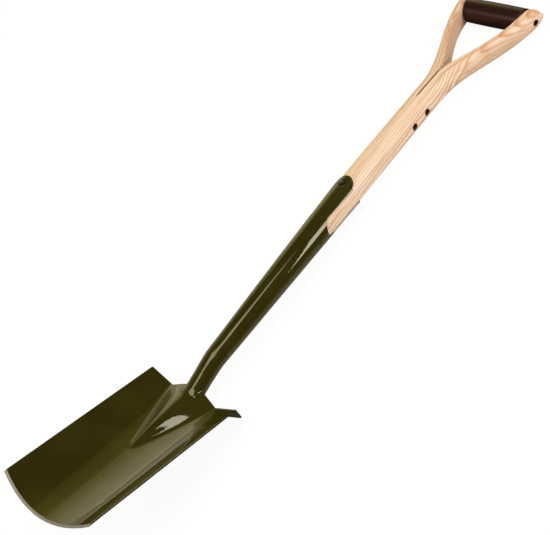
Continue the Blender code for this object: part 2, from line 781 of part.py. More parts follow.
def make_grip(spade, finish):
    """Barrel grip between the arms, its ends trimmed to their inner faces, bored for the pin."""
    segments = ROUND_SEGMENTS
    bore = PIN_RADIUS + SEAT_GAP
    half = arm_inner_at_pin() - SEAT_GAP
    bm = bmesh.new()

    def ring(share, radius):
        circle = []
        for i in range(segments):
            turn = 2 * math.pi * i / segments
            up = radius * math.sin(turn)
            reach = half + ARM_INNER_SLOPE * up
            circle.append(bm.verts.new((share * reach, radius * math.cos(turn), up)))
        return circle

    shares = steps(-1.0, 1.0, 10)
    barrel = [(share, mix(GRIP_MIDDLE_RADIUS, GRIP_END_RADIUS, share**2)) for share in shares]
    barrel[0] = (-1.0 + GRIP_EDGE / half, barrel[0][1])
    barrel[-1] = (1.0 - GRIP_EDGE / half, barrel[-1][1])
    loops = [ring(-1.0, GRIP_END_RADIUS - GRIP_EDGE)] + [ring(*station) for station in barrel]
    loops += [ring(1.0, GRIP_END_RADIUS - GRIP_EDGE), ring(1.0, bore), ring(-1.0, bore)]
    for loop, after in zip(loops, loops[1:] + loops[:1]):
        for i in range(segments):
            j = (i + 1) % segments
            bm.faces.new((loop[i], loop[j], after[j], after[i]))
    grip = make_object("grip", bm, finish, spade)
    grip.location = (0.0, shaft_line(PIN_HEIGHT), PIN_HEIGHT)
    grip.rotation_euler.z = HANDLE_TWIST
    return grip


# Rivets, pin and burrs

def make_recess_cutter(name, height, reach, floor, shank_radius, recess_radius, spade):
    """A bore across the wood with a recess at each end for the rivet's head and burr."""
    bore = shank_radius + SEAT_GAP
    end = reach + CUTTER_OVERRUN
    profile = [(-end, 0.0), (-end, recess_radius), (-floor, recess_radius), (-floor, bore)]
    profile += [(floor, bore), (floor, recess_radius), (end, recess_radius), (end, 0.0)]
    cutter = make_cutter(name, turned_bmesh(profile, RIVET_SEGMENTS), spade)
    cutter.location = (0.0, shaft_line(height), height)
    return cutter


def make_cross_rivet(name, height, floor, shank_radius, head_radius, head_thickness, finish, spade):
    """A rivet across the shaft: headed on the right, peened over its burr on the left."""
    seat = floor + SEAT_GAP
    burr_top = seat + BURR_THICKNESS + SEAT_GAP
    peen_radius = PEEN_SHARE * head_radius
    dome = HEAD_DOME_SHARE * head_thickness
    flat = HEAD_FLAT_SHARE
    profile = [(-burr_top - head_thickness, 0.0), (-burr_top - head_thickness, flat * peen_radius)]
    profile += [(-burr_top - dome, peen_radius), (-burr_top, peen_radius), (-burr_top, shank_radius)]
    profile += [(seat, shank_radius), (seat, head_radius), (seat + dome, head_radius)]
    profile += [(seat + head_thickness, flat * head_radius), (seat + head_thickness, 0.0)]
    rivet = make_object(name, turned_bmesh(profile, RIVET_SEGMENTS), finish, spade)
    rivet.location = (0.0, shaft_line(height), height)
    return rivet


def make_burr(name, height, floor, shank_radius, head_radius, finish, spade):
    """A washer under the peened end of a cross rivet, on the left."""
    near = -floor - SEAT_GAP
    bore = shank_radius + SEAT_GAP
    far = near - BURR_THICKNESS
    profile = [(far, bore), (far, head_radius), (near, head_radius), (near, bore)]
    burr = make_object(name, turned_bmesh(profile, RIVET_SEGMENTS, closed=True), finish, spade)
    burr.location = (0.0, shaft_line(height), height)
    return burr


def make_split_rivets(spade, finish):
    for label, height in zip(("lower", "upper"), SPLIT_RIVET_HEIGHTS):
        floor = shaft_radius(height) - SPLIT_RIVET_RECESS_DEPTH
        make_cross_rivet("split_rivet_" + label, height, floor, SPLIT_RIVET_RADIUS, SPLIT_RIVET_HEAD_RADIUS,
                         SPLIT_RIVET_HEAD_THICKNESS, finish, spade)
        make_burr("split_rivet_burr_" + label, height, floor, SPLIT_RIVET_RADIUS, SPLIT_RIVET_HEAD_RADIUS,
                  finish, spade)


def make_grip_pin(spade, finish):
    floor = ARM_OUTER_AT_PIN - PIN_RECESS_DEPTH
    pin = make_cross_rivet("grip_pin", PIN_HEIGHT, floor, PIN_RADIUS, PIN_HEAD_RADIUS, PIN_HEAD_THICKNESS,
                           finish, spade)
    burr = make_burr("grip_pin_burr", PIN_HEIGHT, floor, PIN_RADIUS, PIN_HEAD_RADIUS, finish, spade)
    for obj in (pin, burr):
        obj.rotation_euler.z = HANDLE_TWIST


def strap_rivet_profile(clearance):
    """Half of the strap rivet, sunk flush in its strap, from the shank out to the head."""
    surface = socket_radius(STRAP_RIVET_HEIGHT)
    top = surface - STRAP_RIVET_SINK
    shank = STRAP_RIVET_RADIUS + clearance
    head = STRAP_RIVET_HEAD_RADIUS + clearance
    return top - STRAP_RIVET_HEAD_DEPTH - clearance, top, shank, head


def make_strap_rivet_cutter(spade, name, clearance):
    """Bore and countersinks for the strap rivet, from front to back."""
    neck, top, shank, head = strap_rivet_profile(clearance)
    end = CUTTER_REACH
    profile = [(-end, 0.0), (-end, head), (-top, head), (-neck, shank)]
    profile += [(neck, shank), (top, head), (end, head), (end, 0.0)]
    cutter = make_cutter(name, along_y(turned_bmesh(profile, RIVET_SEGMENTS)), spade)
    cutter.location = (0.0, shaft_line(STRAP_RIVET_HEIGHT), STRAP_RIVET_HEIGHT)
    return cutter


def make_strap_rivet(spade, finish):
    neck, top, shank, head = strap_rivet_profile(0.0)
    crown = top + 0.5 * STRAP_RIVET_SINK
    brow = mix(top, crown, HEAD_DOME_SHARE)
    flat = HEAD_FLAT_SHARE * head
    profile = [(-crown, 0.0), (-brow, flat), (-top + SEAT_GAP, head), (-neck, shank)]
    profile += [(neck, shank), (top - SEAT_GAP, head), (brow, flat), (crown, 0.0)]
    rivet = make_object("strap_rivet", along_y(turned_bmesh(profile, RIVET_SEGMENTS)), finish, spade)
    rivet.location = (0.0, shaft_line(STRAP_RIVET_HEIGHT), STRAP_RIVET_HEIGHT)
    return rivet


def make_socket_rivet_cutter(spade, name):
    end = CUTTER_REACH
    bore = SOCKET_RIVET_RADIUS + SEAT_GAP
    profile = [(-end, 0.0), (-end, bore), (end, bore), (end, 0.0)]
    cutter = make_cutter(name, turned_bmesh(profile, RIVET_SEGMENTS), spade)
    cutter.location = (0.0, shaft_line(SOCKET_RIVET_HEIGHT), SOCKET_RIVET_HEIGHT)
    return cutter


def make_socket_rivet(spade, finish):
    """A rivet across the socket, domed on both sides."""
    seat = socket_radius(SOCKET_RIVET_HEIGHT) + SEAT_GAP
    shank = SOCKET_RIVET_RADIUS
    head = SOCKET_RIVET_HEAD_RADIUS
    rise = SOCKET_RIVET_HEAD_RISE
    half = [(seat, shank), (seat, head), (seat + HEAD_DOME_SHARE * rise, mix(head, shank, 0.5))]
    half += [(seat + rise, 0.4 * shank), (seat + rise, 0.0)]
    profile = [(-along, radius) for along, radius in reversed(half)] + half
    rivet = make_object("socket_rivet", turned_bmesh(profile, RIVET_SEGMENTS), finish, spade)
    rivet.location = (0.0, shaft_line(SOCKET_RIVET_HEIGHT), SOCKET_RIVET_HEIGHT)
    return rivet


# Laying the spade down

def all_points(spade):
    """Every visible point of the spade in its working frame."""
    bpy.context.view_layer.update()
    depsgraph = bpy.context.evaluated_depsgraph_get()
    points = []
    for obj in spade.children:
        if obj.hide_render:
            continue
        shape = obj.evaluated_get(depsgraph).to_mesh()
        points += [obj.matrix_world @ vert.co for vert in shape.vertices]
    return points


def lay_down(spade):
    """Rest the spade on its back, on the treads' rear edges and the handle, centred over its floor print."""
    points = all_points(spade)
    tilt = 0.0
    for _ in range(4):
        heel = max((p for p in points if p.z < SPLIT_START), key=lambda p: p.y + tilt * p.z)
        end = max((p for p in points if p.z >= SPLIT_START), key=lambda p: p.y + tilt * p.z)
        tilt = (heel.y - end.y) / (end.z - heel.z)
    turn = Matrix.Rotation(math.radians(-90) - math.atan(tilt), 4, 'X')
    laid = [turn @ p for p in points]
    lows = [min(p[i] for p in laid) for i in range(3)]
    highs = [max(p[i] for p in laid) for i in range(3)]
    centre = Vector(((lows[0] + highs[0]) / 2, (lows[1] + highs[1]) / 2, lows[2]))
    spade.matrix_world = Matrix.Translation(-centre) @ turn
    bpy.context.view_layer.update()


def main():
    for obj in list(bpy.data.objects):
        bpy.data.objects.remove(obj, do_unlink=True)
    spade = bpy.data.objects.new("spade", None)
    bpy.context.collection.objects.link(spade)
    make_blade(spade, OLIVE_PAINT)
    make_socket(spade, OLIVE_PAINT)
    make_weld(spade, OLIVE_PAINT)
    make_shaft(spade, ASH_WOOD)
    make_grip(spade, STAINED_WOOD)
    make_grip_pin(spade, RIVET_STEEL)
    make_split_rivets(spade, RIVET_STEEL)
    make_strap_rivet(spade, OLIVE_PAINT)
    make_socket_rivet(spade, OLIVE_PAINT)
    lay_down(spade)


main()
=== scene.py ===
"""Border spade: gloss olive blade and socket, split ash shaft and stained grip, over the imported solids.

The spade's own directions are X across the blade, Y to its back and Z up the shaft, from the shaft line at
the treads. Every piece is made in those and then laid on its back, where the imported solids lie.
"""
import math

import bmesh
import bpy
from bpy.props import FloatProperty, FloatVectorProperty, PointerProperty
from mathutils import Matrix, Quaternion, Vector


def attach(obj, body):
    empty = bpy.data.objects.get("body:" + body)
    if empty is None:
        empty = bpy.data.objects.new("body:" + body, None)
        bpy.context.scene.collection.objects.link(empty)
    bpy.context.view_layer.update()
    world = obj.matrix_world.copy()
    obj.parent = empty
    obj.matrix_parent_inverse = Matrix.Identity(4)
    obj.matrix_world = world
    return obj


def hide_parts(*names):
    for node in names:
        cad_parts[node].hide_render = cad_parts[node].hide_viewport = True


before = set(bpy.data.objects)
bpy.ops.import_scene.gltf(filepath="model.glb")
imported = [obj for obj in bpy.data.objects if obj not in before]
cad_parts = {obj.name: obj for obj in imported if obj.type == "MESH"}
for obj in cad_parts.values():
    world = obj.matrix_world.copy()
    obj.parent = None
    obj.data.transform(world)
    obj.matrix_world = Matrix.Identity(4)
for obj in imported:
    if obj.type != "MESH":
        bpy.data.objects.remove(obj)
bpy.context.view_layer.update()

bl_info = {
    "name": "Border Spade",
    "version": (1, 0, 0),
    "blender": (4, 5, 0),
    "location": "3D View > Sidebar > Border Spade",
    "description": "Makes a border spade's painted steel, ash and rivets, and a studio to see it in",
    "category": "Add Mesh",
}

MM = 0.001
QUARTER_TURN = math.radians(90)
LAY_BACK = math.radians(-91.234969)
LAID_PLACE = (0.0, -0.24386173, 0.03822125)
LAID = Matrix.Translation(LAID_PLACE) @ Matrix.Rotation(LAY_BACK, 4, 'X')
UNLAID = LAID.inverted()

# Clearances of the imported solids, and how close points are one
SEAT_GAP = 0.3 * MM
WELD_ROOT_GAP = 1.0 * MM
ONE_POINT = 0.001 * MM

# Blade
BLADE_LIFT = math.radians(19.8)
BLADE_HALF_WIDTH = 73.2 * MM
BLADE_TOP_HALF_WIDTH = 72.0 * MM
BLADE_SIDE_LENGTH = 234.0 * MM
BLADE_EDGE_HEIGHT = -4.8 * MM
BLADE_DISH = 19.0 * MM
BLADE_TIP_BULGE = 14.0 * MM
SHEET_THICKNESS = 2.3 * MM
GROUND_EDGE_WIDTH = 3.2 * MM
GROUND_EDGE_THICKNESS = 0.7 * MM
TREAD_LINE = 2.0 * MM
TREAD_DEPTH = 21.0 * MM
TREAD_RISE = math.radians(25.0)
TREAD_BEND_RADIUS = 4.0 * MM
TREAD_STRAIGHTENING = 45.0 * MM
FROG_HALF_WIDTH = 39.3 * MM
FROG_LENGTH = 106.0 * MM
FROG_SIDE_POWER = 0.82
FROG_CREST_HEIGHT = -4.6 * MM
FROG_CREST_BOW = 2.0 * MM
FROG_CREST_ROUNDING = 0.22
FROG_POINT_HALF_WIDTH = 6.0 * MM
SHOULDER_LINE = 8.2 * MM

# Socket
SOCKET_NECK_RADIUS = 13.1 * MM
SOCKET_TOP_RADIUS = 21.2 * MM
SOCKET_BELLY = 0.1 * MM
SOCKET_NECK = 20.0 * MM
SOCKET_TOP = 350.0 * MM
SOCKET_WALL = 1.8 * MM
CRANK_HEIGHT = 46.0 * MM
CRANK_SLOPE = 0.24
CRANK_SOFTNESS = 6.0 * MM
STRAP_HALF_WIDTH = 13.9 * MM
WINDOW_HALF_WIDTH = 14.9 * MM
WINDOW_BOTTOM = 270.0 * MM
STRAP_END_TURN = math.radians(86)
WELD_END_CLEARANCE = 0.9 * MM
WELD_ROOT_INSET = 0.6 * MM
WELD_TOE_LIFT = 0.02 * MM
WELD_END_SIZE = 0.2
WELD_END_FADE = math.radians(35)

# Shaft
SHAFT_RADIUS = 19.0 * MM
SHAFT_WAIST_RADIUS = 18.3 * MM
SHAFT_WAIST = 534.0 * MM
SHAFT_FOOT = 78.0 * MM
SHAFT_FOOT_CHAMFER = 6.0 * MM
SHAFT_FOOT_INSET = 1.8 * MM
BOW_DEPTH = 5.3 * MM
BOW_POWER = 1.6
BOW_FORWARD = 1.4 * MM
BOW_MIDDLE = 380.0 * MM
BOW_HALF_LENGTH = 330.0 * MM
BOW_FOOT = 75.0 * MM
SPLIT_START = 511.0 * MM
SAW_KERF = 1.2 * MM
SAW_RUN_IN = 4.0 * MM
CROTCH = 565.0 * MM
CROTCH_SLOPE = 0.23
ARM_OUTER_AT_PIN = 66.8 * MM
ARM_OUTER_SLOPE = 0.165
ARM_THICKNESS_AT_PIN = 18.3 * MM
ARM_INNER_SLOPE = 0.158
ARM_HALF_DEPTH = 16.5 * MM
ARM_SLIMMING_HASTE = 1.6
ARM_ROUNDING_HASTE = 2.0
ARM_EDGE_ROUNDING = 4.9 * MM
KERF_EDGE_ROUNDING = 0.3 * MM
ARM_END_RADIUS = 19.9 * MM
ARM_END_EASING = 3.0 * MM
ARM_END_TURN = math.radians(81)
HANDLE_TWIST = math.radians(-2.4)

# Grip, pin and rivets
PIN_HEIGHT = 707.2 * MM
PIN_RADIUS = 3.0 * MM
PIN_HEAD_RADIUS = 4.3 * MM
PIN_HEAD_THICKNESS = 1.8 * MM
PIN_RECESS_RADIUS = 4.8 * MM
PIN_RECESS_DEPTH = 4.5 * MM
GRIP_MIDDLE_RADIUS = 17.8 * MM
GRIP_END_RADIUS = 17.2 * MM
GRIP_EDGE = 1.2 * MM
GRIP_SEAT_REACH = 1.4
GRIP_BODY_SHARE = 0.80
GRIP_EDGE_SHARE = 0.90
GRIP_SEAM_MERGE = 0.002 * MM
STRAP_RIVET_HEIGHT = 336.0 * MM
STRAP_RIVET_RADIUS = 3.0 * MM
STRAP_RIVET_HEAD_RADIUS = 4.6 * MM
STRAP_RIVET_SINK = 0.5 * MM
SOCKET_RIVET_HEIGHT = 254.5 * MM
SOCKET_RIVET_RADIUS = 2.0 * MM
SOCKET_RIVET_HEAD_RADIUS = 3.3 * MM
SOCKET_RIVET_HEAD_RISE = 1.0 * MM
SPLIT_RIVET_HEIGHTS = (473.0 * MM, 503.0 * MM)
SPLIT_RIVET_RADIUS = 2.5 * MM
SPLIT_RIVET_HEAD_RADIUS = 4.7 * MM
SPLIT_RIVET_HEAD_THICKNESS = 1.6 * MM
SPLIT_RIVET_RECESS_RADIUS = 5.2 * MM
SPLIT_RIVET_RECESS_DEPTH = 5.0 * MM
BURR_THICKNESS = 1.0 * MM
PEEN_SHARE = 0.75
HEAD_RIM_SHARE = 0.3
RIVET_EDGE = 0.2 * MM
RECESS_OVERREACH = 8.0 * MM

# Paint and steel
PEEL_DEPTH = 0.30 * MM
PEEL_STRENGTH = 0.5
DIRT_RING_WIDTH = 1.4 * MM
# painted shade in the strap's rivet dimple and on its rivet head
DIMPLE_SHADE = (0.006, 0.005, 0.003)
RAGGED_BORDER = 0.6 * MM
PAINT_BORDER = 0.15 * MM
# painted shade: a darker line in the bare steel along the top of the ground edge's bevel
BEVEL_SHADE_STEEL = (0.10, 0.085, 0.06)
BEVEL_SHADE_FROM = GROUND_EDGE_WIDTH - 1.0 * MM
BEVEL_SHADE_TO = GROUND_EDGE_WIDTH - 0.1 * MM
SCRATCH_DEPTH = 0.05 * MM
TARNISH_DEPTH = 0.06 * MM

# Wood: place of the pith, lean and unevenness of the rings, and each ring's tone from its start to its end
PITH_ACROSS = 46.0 * MM
PITH_DEPTH = 30.0 * MM
RING_TURN = math.radians(84)
RING_TURN_SPAN = (CROTCH - 30.0 * MM, CROTCH + 80.0 * MM)
RING_DARKENING_SPAN = (CROTCH - 30.0 * MM, CROTCH + 60.0 * MM)
RING_LEAN = 0.03
RING_LEAN_IN_ARMS = 0.08
RING_WANDER = 9.0 * MM
RING_FLUTTER = 2.2 * MM
RING_TONES = ((0.0, 0.9), (0.14, 0.7), (0.38, 0.15), (0.62, 0.0), (0.90, 0.2), (1.0, 0.9))
KERF_SHADE_REACH = 0.4 * MM
KERF_SHADE_END = 3.0 * MM
RECESS_SHADE_OUTSIDE = 0.35 * MM
RECESS_SHADE_INSIDE = 0.1 * MM
ASH_GRAIN_DEPTH = 0.08 * MM
GRIP_GRAIN_DEPTH = 0.05 * MM

# Floor as the paint mirrors it, by metres from the middle: how dark it gets on the right and near the
# handle, and how bright far to the left
BOARD_RIGHT_SPAN = (0.03, 0.13)
BOARD_RIGHT_LOSS = 0.96
BOARD_LEFT_SPAN = (-0.2, -0.6)
BOARD_LEFT_GAIN = 0.6
BOARD_HANDLE_SPAN = (0.28, 0.34)
BOARD_HANDLE_SIDE_SPAN = (-0.35, -0.22)
BOARD_HANDLE_LOSS = 0.9

# Studio
SHADOW_GLOW_LOSS = 0.7
FLOOR_BOUNCE = 0.8
FLOOR_DROP = 0.2 * MM
FLOOR_RADIUS = 5.0
SWEEP_RADIUS = 2.0
SWEEP_TURN = math.radians(80)
BACKDROP_TOP = (3.2, 7.4)    # height and distance
WALL_AIM = Vector((0.0, -0.40, 0.0))
TUBE_AIM = Vector((0.0, -0.02, 0.05))
FROG_AIM = Vector((0.0, -0.28, 0.03))
PLAIN_WHITE = (1.0, 1.0, 1.0)
LAMP_POWER = 4.0    # watts for each square metre at a brightness of 1
CAMERA_PLACE = (0.9477, -0.62094, 1.21702)
CAMERA_TURN = (39.896, 18.825, 38.186)

# Left wall: each part's azimuth in degrees and width, then its bands from the floor up. A band has its
# bottom and top in degrees of elevation seen from the blade, its brightness and its blueness.
LEFT_WALL_DISTANCE = 4.0
LEFT_WALL_GREEN = 0.92
LEFT_WALL = (
    (134.0, 3.1, ((0.1, 3.0, 1.10, 0.60), (3.0, 18.0, 1.0, 0.57), (18.0, 21.0, 0.9, 0.50),
                  (21.0, 24.0, 0.84, 0.45), (24.0, 27.5, 0.76, 0.38), (27.5, 30.0, 0.42, 0.28),
                  (30.0, 36.0, 0.3, 0.2), (36.0, 39.0, 0.2, 0.15))),
    (171.0, 2.3, ((0.1, 10.0, 0.66, 0.60), (10.0, 20.0, 0.52, 0.5), (20.0, 30.0, 0.3, 0.35),
                  (30.0, 36.0, 0.12, 0.2))),
)

# Mesh fineness
NOTCH_COLUMNS = 22
FLANK_COLUMNS = 22
WING_COLUMNS = 36
TIP_INNER_HALF_WIDTH = 30.0 * MM
BLADE_ROWS = 130
GROUND_ROWS = 8
GROUND_BORDER = 0.25 * MM
BEND_ROWS = 10
TREAD_ROWS = 8
RIM_STEPS = 3
SOCKET_HALF_COLUMNS = 48
SOCKET_ROWS = 90
SOCKET_ROW_CROWDING = 1.3
WINDOW_ROWS = 16
STRAP_ROWS = 50
STRAP_END_ROWS = 16
FILLET_TURNS = 72
FILLET_STEPS = 12
WOOD_HALF_SEGMENTS = 40
WOOD_ROW_SPACING = 3.0 * MM
CORNER_STEPS = 6
RIVET_SEGMENTS = 48
GRIP_LENGTH_SEGMENTS = 160
GRIP_ROUND_SEGMENTS = 96
RIM_ROOM_SHARE = 0.45
ARM_END_ROWS = 24
INNER_FACE_COLUMNS = 8
DOME_STEPS = 8
BISECTIONS = 30
SWEEP_ROWS = 16
BACKDROP_SEGMENTS = 96


# What a user would change

def colour_property(name, description, default):
    return FloatVectorProperty(name=name, description=description, default=default,
                               subtype='COLOR', size=3, min=0.0, max=1.0)


def length_property(name, description, default):
    return FloatProperty(name=name, description=description, default=default,
                         subtype='DISTANCE', unit='LENGTH', min=0.0)


def share_property(name, description, default):
    return FloatProperty(name=name, description=description, default=default,
                         subtype='FACTOR', min=0.0, max=1.0)


class SteelworkSettings(bpy.types.PropertyGroup):
    """Sizes and colours of the painted blade and socket."""
    paint: colour_property("Paint", "Colour of the gloss paint", (0.038, 0.0315, 0.0040))
    paint_deep: colour_property("Deep Paint", "Colour where the paint lies thick", (0.030, 0.0240, 0.0029))
    paint_roughness: share_property("Paint Roughness", "How dull the gloss paint is", 0.03)
    gloss_tint: colour_property("Gloss Tint", "Tint of what the paint mirrors", (1.0, 0.92, 0.70))
    orange_peel: length_property("Orange Peel", "Size of the paint's fine dimples", 2.2 * MM)
    bare_steel: colour_property("Bare Steel", "Colour of the ground cutting edge", (0.30, 0.275, 0.235))
    valley_rounding: length_property("Valley Rounding", "Softness of the frog's two valleys", 1.6 * MM)
    rim_rounding: length_property("Rim Rounding", "Rounding of the sheet's cut edges", 0.4 * MM)
    wall_leg: length_property("Fillet up the Socket", "Reach of the foot's fillet up the socket", 8.0 * MM)
    frog_leg: length_property("Fillet down the Frog", "Reach of the foot's fillet down the frog", 9.0 * MM)
    dimple_depth: length_property("Rivet Dimple Depth", "Depth of the strap's dimple round its rivet",
                                  1.1 * MM)
    dimple_radius: length_property("Rivet Dimple Radius", "Radius of that dimple at its rim", 6.2 * MM)


class WoodSettings(bpy.types.PropertyGroup):
    """Sizes and colours of the ash shaft."""
    pale: colour_property("Pale Wood", "Ash between the growth rings", (0.955, 0.762, 0.575))
    ring: colour_property("Growth Ring", "Ash along the growth rings", (0.66, 0.305, 0.15))
    # Painted shade: the cut colour darkens the rivet recesses and partly the saw cut, and the pore colour
    # darkens the saw cut's walls
    cut: colour_property("Shade in Saw Cut and Holes", "Painted shade in the saw cut and the rivet holes", (0.09, 0.04, 0.018))
    pore_and_kerf_shade: colour_property("Pores and Kerf Shade", "Pores in the rings, and painted shade in the saw cut", (0.50, 0.26, 0.11))
    ring_spacing: length_property("Ring Spacing", "Distance between growth rings", 3.3 * MM)
    roughness: share_property("Wood Roughness", "How dull the oiled wood is", 0.42)


class GripSettings(bpy.types.PropertyGroup):
    """Colours of the stained grip."""
    stain: colour_property("Stain", "Colour of the stained grip", (0.017, 0.0058, 0.0042))
    stain_light: colour_property("Light Stain", "Colour of its paler grain", (0.032, 0.0105, 0.0075))
    lacquer: colour_property("Lacquer Tint", "Tint of what the lacquer mirrors", (0.62, 0.36, 0.28))
    roughness: share_property("Grip Roughness", "How dull the lacquered grip is", 0.33)


class RivetSettings(bpy.types.PropertyGroup):
    """Colours of the rivets, burrs and pin."""
    steel: colour_property("Rivet Steel", "Colour of the dull rivet steel", (0.10, 0.072, 0.055))
    rust: colour_property("Tarnish", "Colour of the tarnish on it", (0.045, 0.022, 0.012))
    roughness: share_property("Rivet Roughness", "How dull the rivets are", 0.42)


class StudioSettings(bpy.types.PropertyGroup):
    """The floor, the light and the camera's lens."""
    floor: colour_property("Floor", "Colour of the floor and backdrop", (1.0, 1.0, 1.0))
    shadow: share_property("Shadow", "How much of the floor's tone follows the light", 0.10)
    mirrored_floor: colour_property("Mirrored Floor", "Floor as the gloss paint mirrors it",
                                    (0.74, 0.70, 0.62))
    lens: FloatProperty(name="Lens", description="Focal length of the camera", default=82.906,
                        unit='CAMERA')


# Small sums

def clamp(value, low=0.0, high=1.0):
    return max(low, min(high, value))


def mix(start, end, share):
    return start + (end - start) * share


def smooth_step(share):
    share = clamp(share)
    return share * share * (3.0 - 2.0 * share)


def hermite(at, start, end, start_value, end_value, start_slope, end_slope):
    """Cubic curve from start to end with a given value and slope at each."""
    span = end - start
    t = clamp((at - start) / span)
    value = (2 * t**3 - 3 * t**2 + 1) * start_value + (3 * t**2 - 2 * t**3) * end_value
    return value + span * ((t**3 - 2 * t**2 + t) * start_slope + (t**3 - t**2) * end_slope)


def steps(start, end, count):
    """Evenly spaced values from start to end, both included."""
    return [mix(start, end, i / count) for i in range(count + 1)]


def quarter_turns(count):
    return steps(0.0, QUARTER_TURN, count)


def arch(rise, share):
    """Height of a low arch of a given rise, at a share of its span."""
    return rise * 4.0 * share * (1.0 - share)


def bisect(low, high, is_below):
    """Narrow a range down to where is_below turns false."""
    for _ in range(BISECTIONS):
        middle = 0.5 * (low + high)
        if is_below(middle):
            low = middle
        else:
            high = middle
    return low, high


# Pieces

def make_piece(name, bm, sharp_from, place=LAID):
    """Turn a bmesh into an object at the origin, smooth but for edges sharper than so many degrees."""
    bmesh.ops.transform(bm, matrix=place, verts=bm.verts)
    mesh = bpy.data.meshes.new(name)
    bm.to_mesh(mesh)
    bm.free()
    mesh.shade_smooth()
    mesh.set_sharp_from_angle(angle=math.radians(sharp_from))
    piece = bpy.data.objects.new(name, mesh)
    bpy.context.scene.collection.objects.link(piece)
    return piece


def hand_over(piece, material, slot, *nodes):
    """Give a finished piece its material, its body and the solids that it stands for."""
    if material:
        piece.data.materials.clear()
        piece.data.materials.append(material)
    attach(piece, "root")
    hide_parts(*nodes)


def plain_mesh(piece):
    """Swap a piece's live modifiers for their result."""
    bpy.context.view_layer.update()
    depsgraph = bpy.context.evaluated_depsgraph_get()
    mesh = bpy.data.meshes.new_from_object(piece.evaluated_get(depsgraph))
    piece.modifiers.clear()
    piece.data = mesh


def strip(below, above):
    """Quads between two rows of point numbers."""
    return [(below[i], below[i + 1], above[i + 1], above[i]) for i in range(len(below) - 1)]


def join_rings(bm, rings):
    """Faces between rings of vertices that close round; a ring of one vertex is a pole."""
    for ring, after in zip(rings, rings[1:]):
        for i in range(max(len(ring), len(after))):
            corners = [ring[i % len(ring)], ring[(i + 1) % len(ring)]]
            corners += [after[(i + 1) % len(after)], after[i % len(after)]]
            bm.faces.new(list(dict.fromkeys(corners)))


def sheet_bmesh(points, quads, thickness, rounding, drops=None):
    """A closed sheet from its front face: a back face set off by the thickness, and rounded rims.

    drops lowers single front points into the sheet, where it is ground thinner.
    """
    bm = bmesh.new()
    front = [bm.verts.new(point) for point in points]
    faces = [bm.faces.new([front[i] for i in quad]) for quad in quads]
    bm.normal_update()
    normals = [vert.normal.copy() for vert in front]
    order = {vert: i for i, vert in enumerate(front)}
    drops = drops or [0.0] * len(points)
    outward = {}
    outline = []
    for face in faces:
        for loop in face.loops:
            if loop.edge.is_boundary:
                start, end = loop.vert, loop.link_loop_next.vert
                side = (end.co - start.co).normalized().cross(face.normal).normalized()
                outline.append((order[start], order[end]))
                for vert in (start, end):
                    outward.setdefault(order[vert], []).append(side)
    places = [vert.co.copy() for vert in front]
    back = []
    for i, place in enumerate(places):
        back.append(bm.verts.new(place - normals[i] * thickness))
        front[i].co = place - normals[i] * drops[i]
    for quad in quads:
        bm.faces.new([back[i] for i in reversed(quad)])
    rims = {}
    for i, sides in outward.items():
        side = sides[0].copy()
        if len(sides) > 1:
            side = (sides[0] + sides[1]) / max(1.0 + sides[0].dot(sides[1]), 0.5)
        room = thickness - drops[i]
        r = min(rounding, RIM_ROOM_SHARE * room)
        edge = places[i] - normals[i] * drops[i]
        inner = edge - side * r
        ring = []
        for turn in quarter_turns(RIM_STEPS)[1:]:
            ring.append(inner + side * r * math.sin(turn) - normals[i] * r * (1.0 - math.cos(turn)))
        for turn in quarter_turns(RIM_STEPS)[:-1]:
            ring.append(inner + side * r * math.cos(turn) - normals[i] * (room - r + r * math.sin(turn)))
        front[i].co = inner
        back[i].co = inner - normals[i] * room
        rims[i] = [front[i]] + [bm.verts.new(point) for point in ring] + [back[i]]
    for start, end in outline:
        for k in range(2 * RIM_STEPS + 1):
            a, b = rims[start], rims[end]
            bm.faces.new((b[k], a[k], a[k + 1], b[k + 1]))
    return bm


# Shaft line, socket and shaft sizes by height

def shaft_line(height):
    """How far the shaft's centre lies behind the straight line, from its bow and the socket's crank."""
    from_middle = abs(max(height, BOW_FOOT) - BOW_MIDDLE) / BOW_HALF_LENGTH
    below = CRANK_HEIGHT - height
    crank = CRANK_SLOPE * 0.5 * (below + math.hypot(below, CRANK_SOFTNESS))
    return BOW_DEPTH * from_middle**BOW_POWER - BOW_FORWARD + crank


def socket_radius(height):
    taper = clamp((height - SOCKET_NECK) / (SOCKET_TOP - SOCKET_NECK))
    return mix(SOCKET_NECK_RADIUS, SOCKET_TOP_RADIUS, taper) + arch(SOCKET_BELLY, taper)


def shaft_radius(height):
    """Round part of the shaft: it fills the socket, then narrows a little towards the split."""
    in_socket = socket_radius(min(height, SOCKET_TOP)) - SOCKET_WALL - SEAT_GAP
    above = smooth_step((height - SOCKET_TOP) / (SHAFT_WAIST - SOCKET_TOP))
    return mix(min(in_socket, SHAFT_RADIUS), SHAFT_WAIST_RADIUS, above)


# Blade surface

def blade_point(across, along, height):
    """A point given in the blade's own directions: across, up the blade, and out of its front."""
    back = along * math.sin(BLADE_LIFT) - height * math.cos(BLADE_LIFT)
    up = along * math.cos(BLADE_LIFT) + height * math.sin(BLADE_LIFT)
    return Vector((across, back, up))


def blade_coordinates(point):
    """Along and height of a point over the blade."""
    along = point.y * math.sin(BLADE_LIFT) + point.z * math.cos(BLADE_LIFT)
    height = point.z * math.sin(BLADE_LIFT) - point.y * math.cos(BLADE_LIFT)
    return along, height


def blade_half_width(along):
    return mix(BLADE_TOP_HALF_WIDTH, BLADE_HALF_WIDTH, (TREAD_LINE - along) / BLADE_SIDE_LENGTH)


def dish_height(across, along):
    share = clamp(abs(across) / blade_half_width(along))
    return BLADE_EDGE_HEIGHT - BLADE_DISH * (1.0 - share**2)


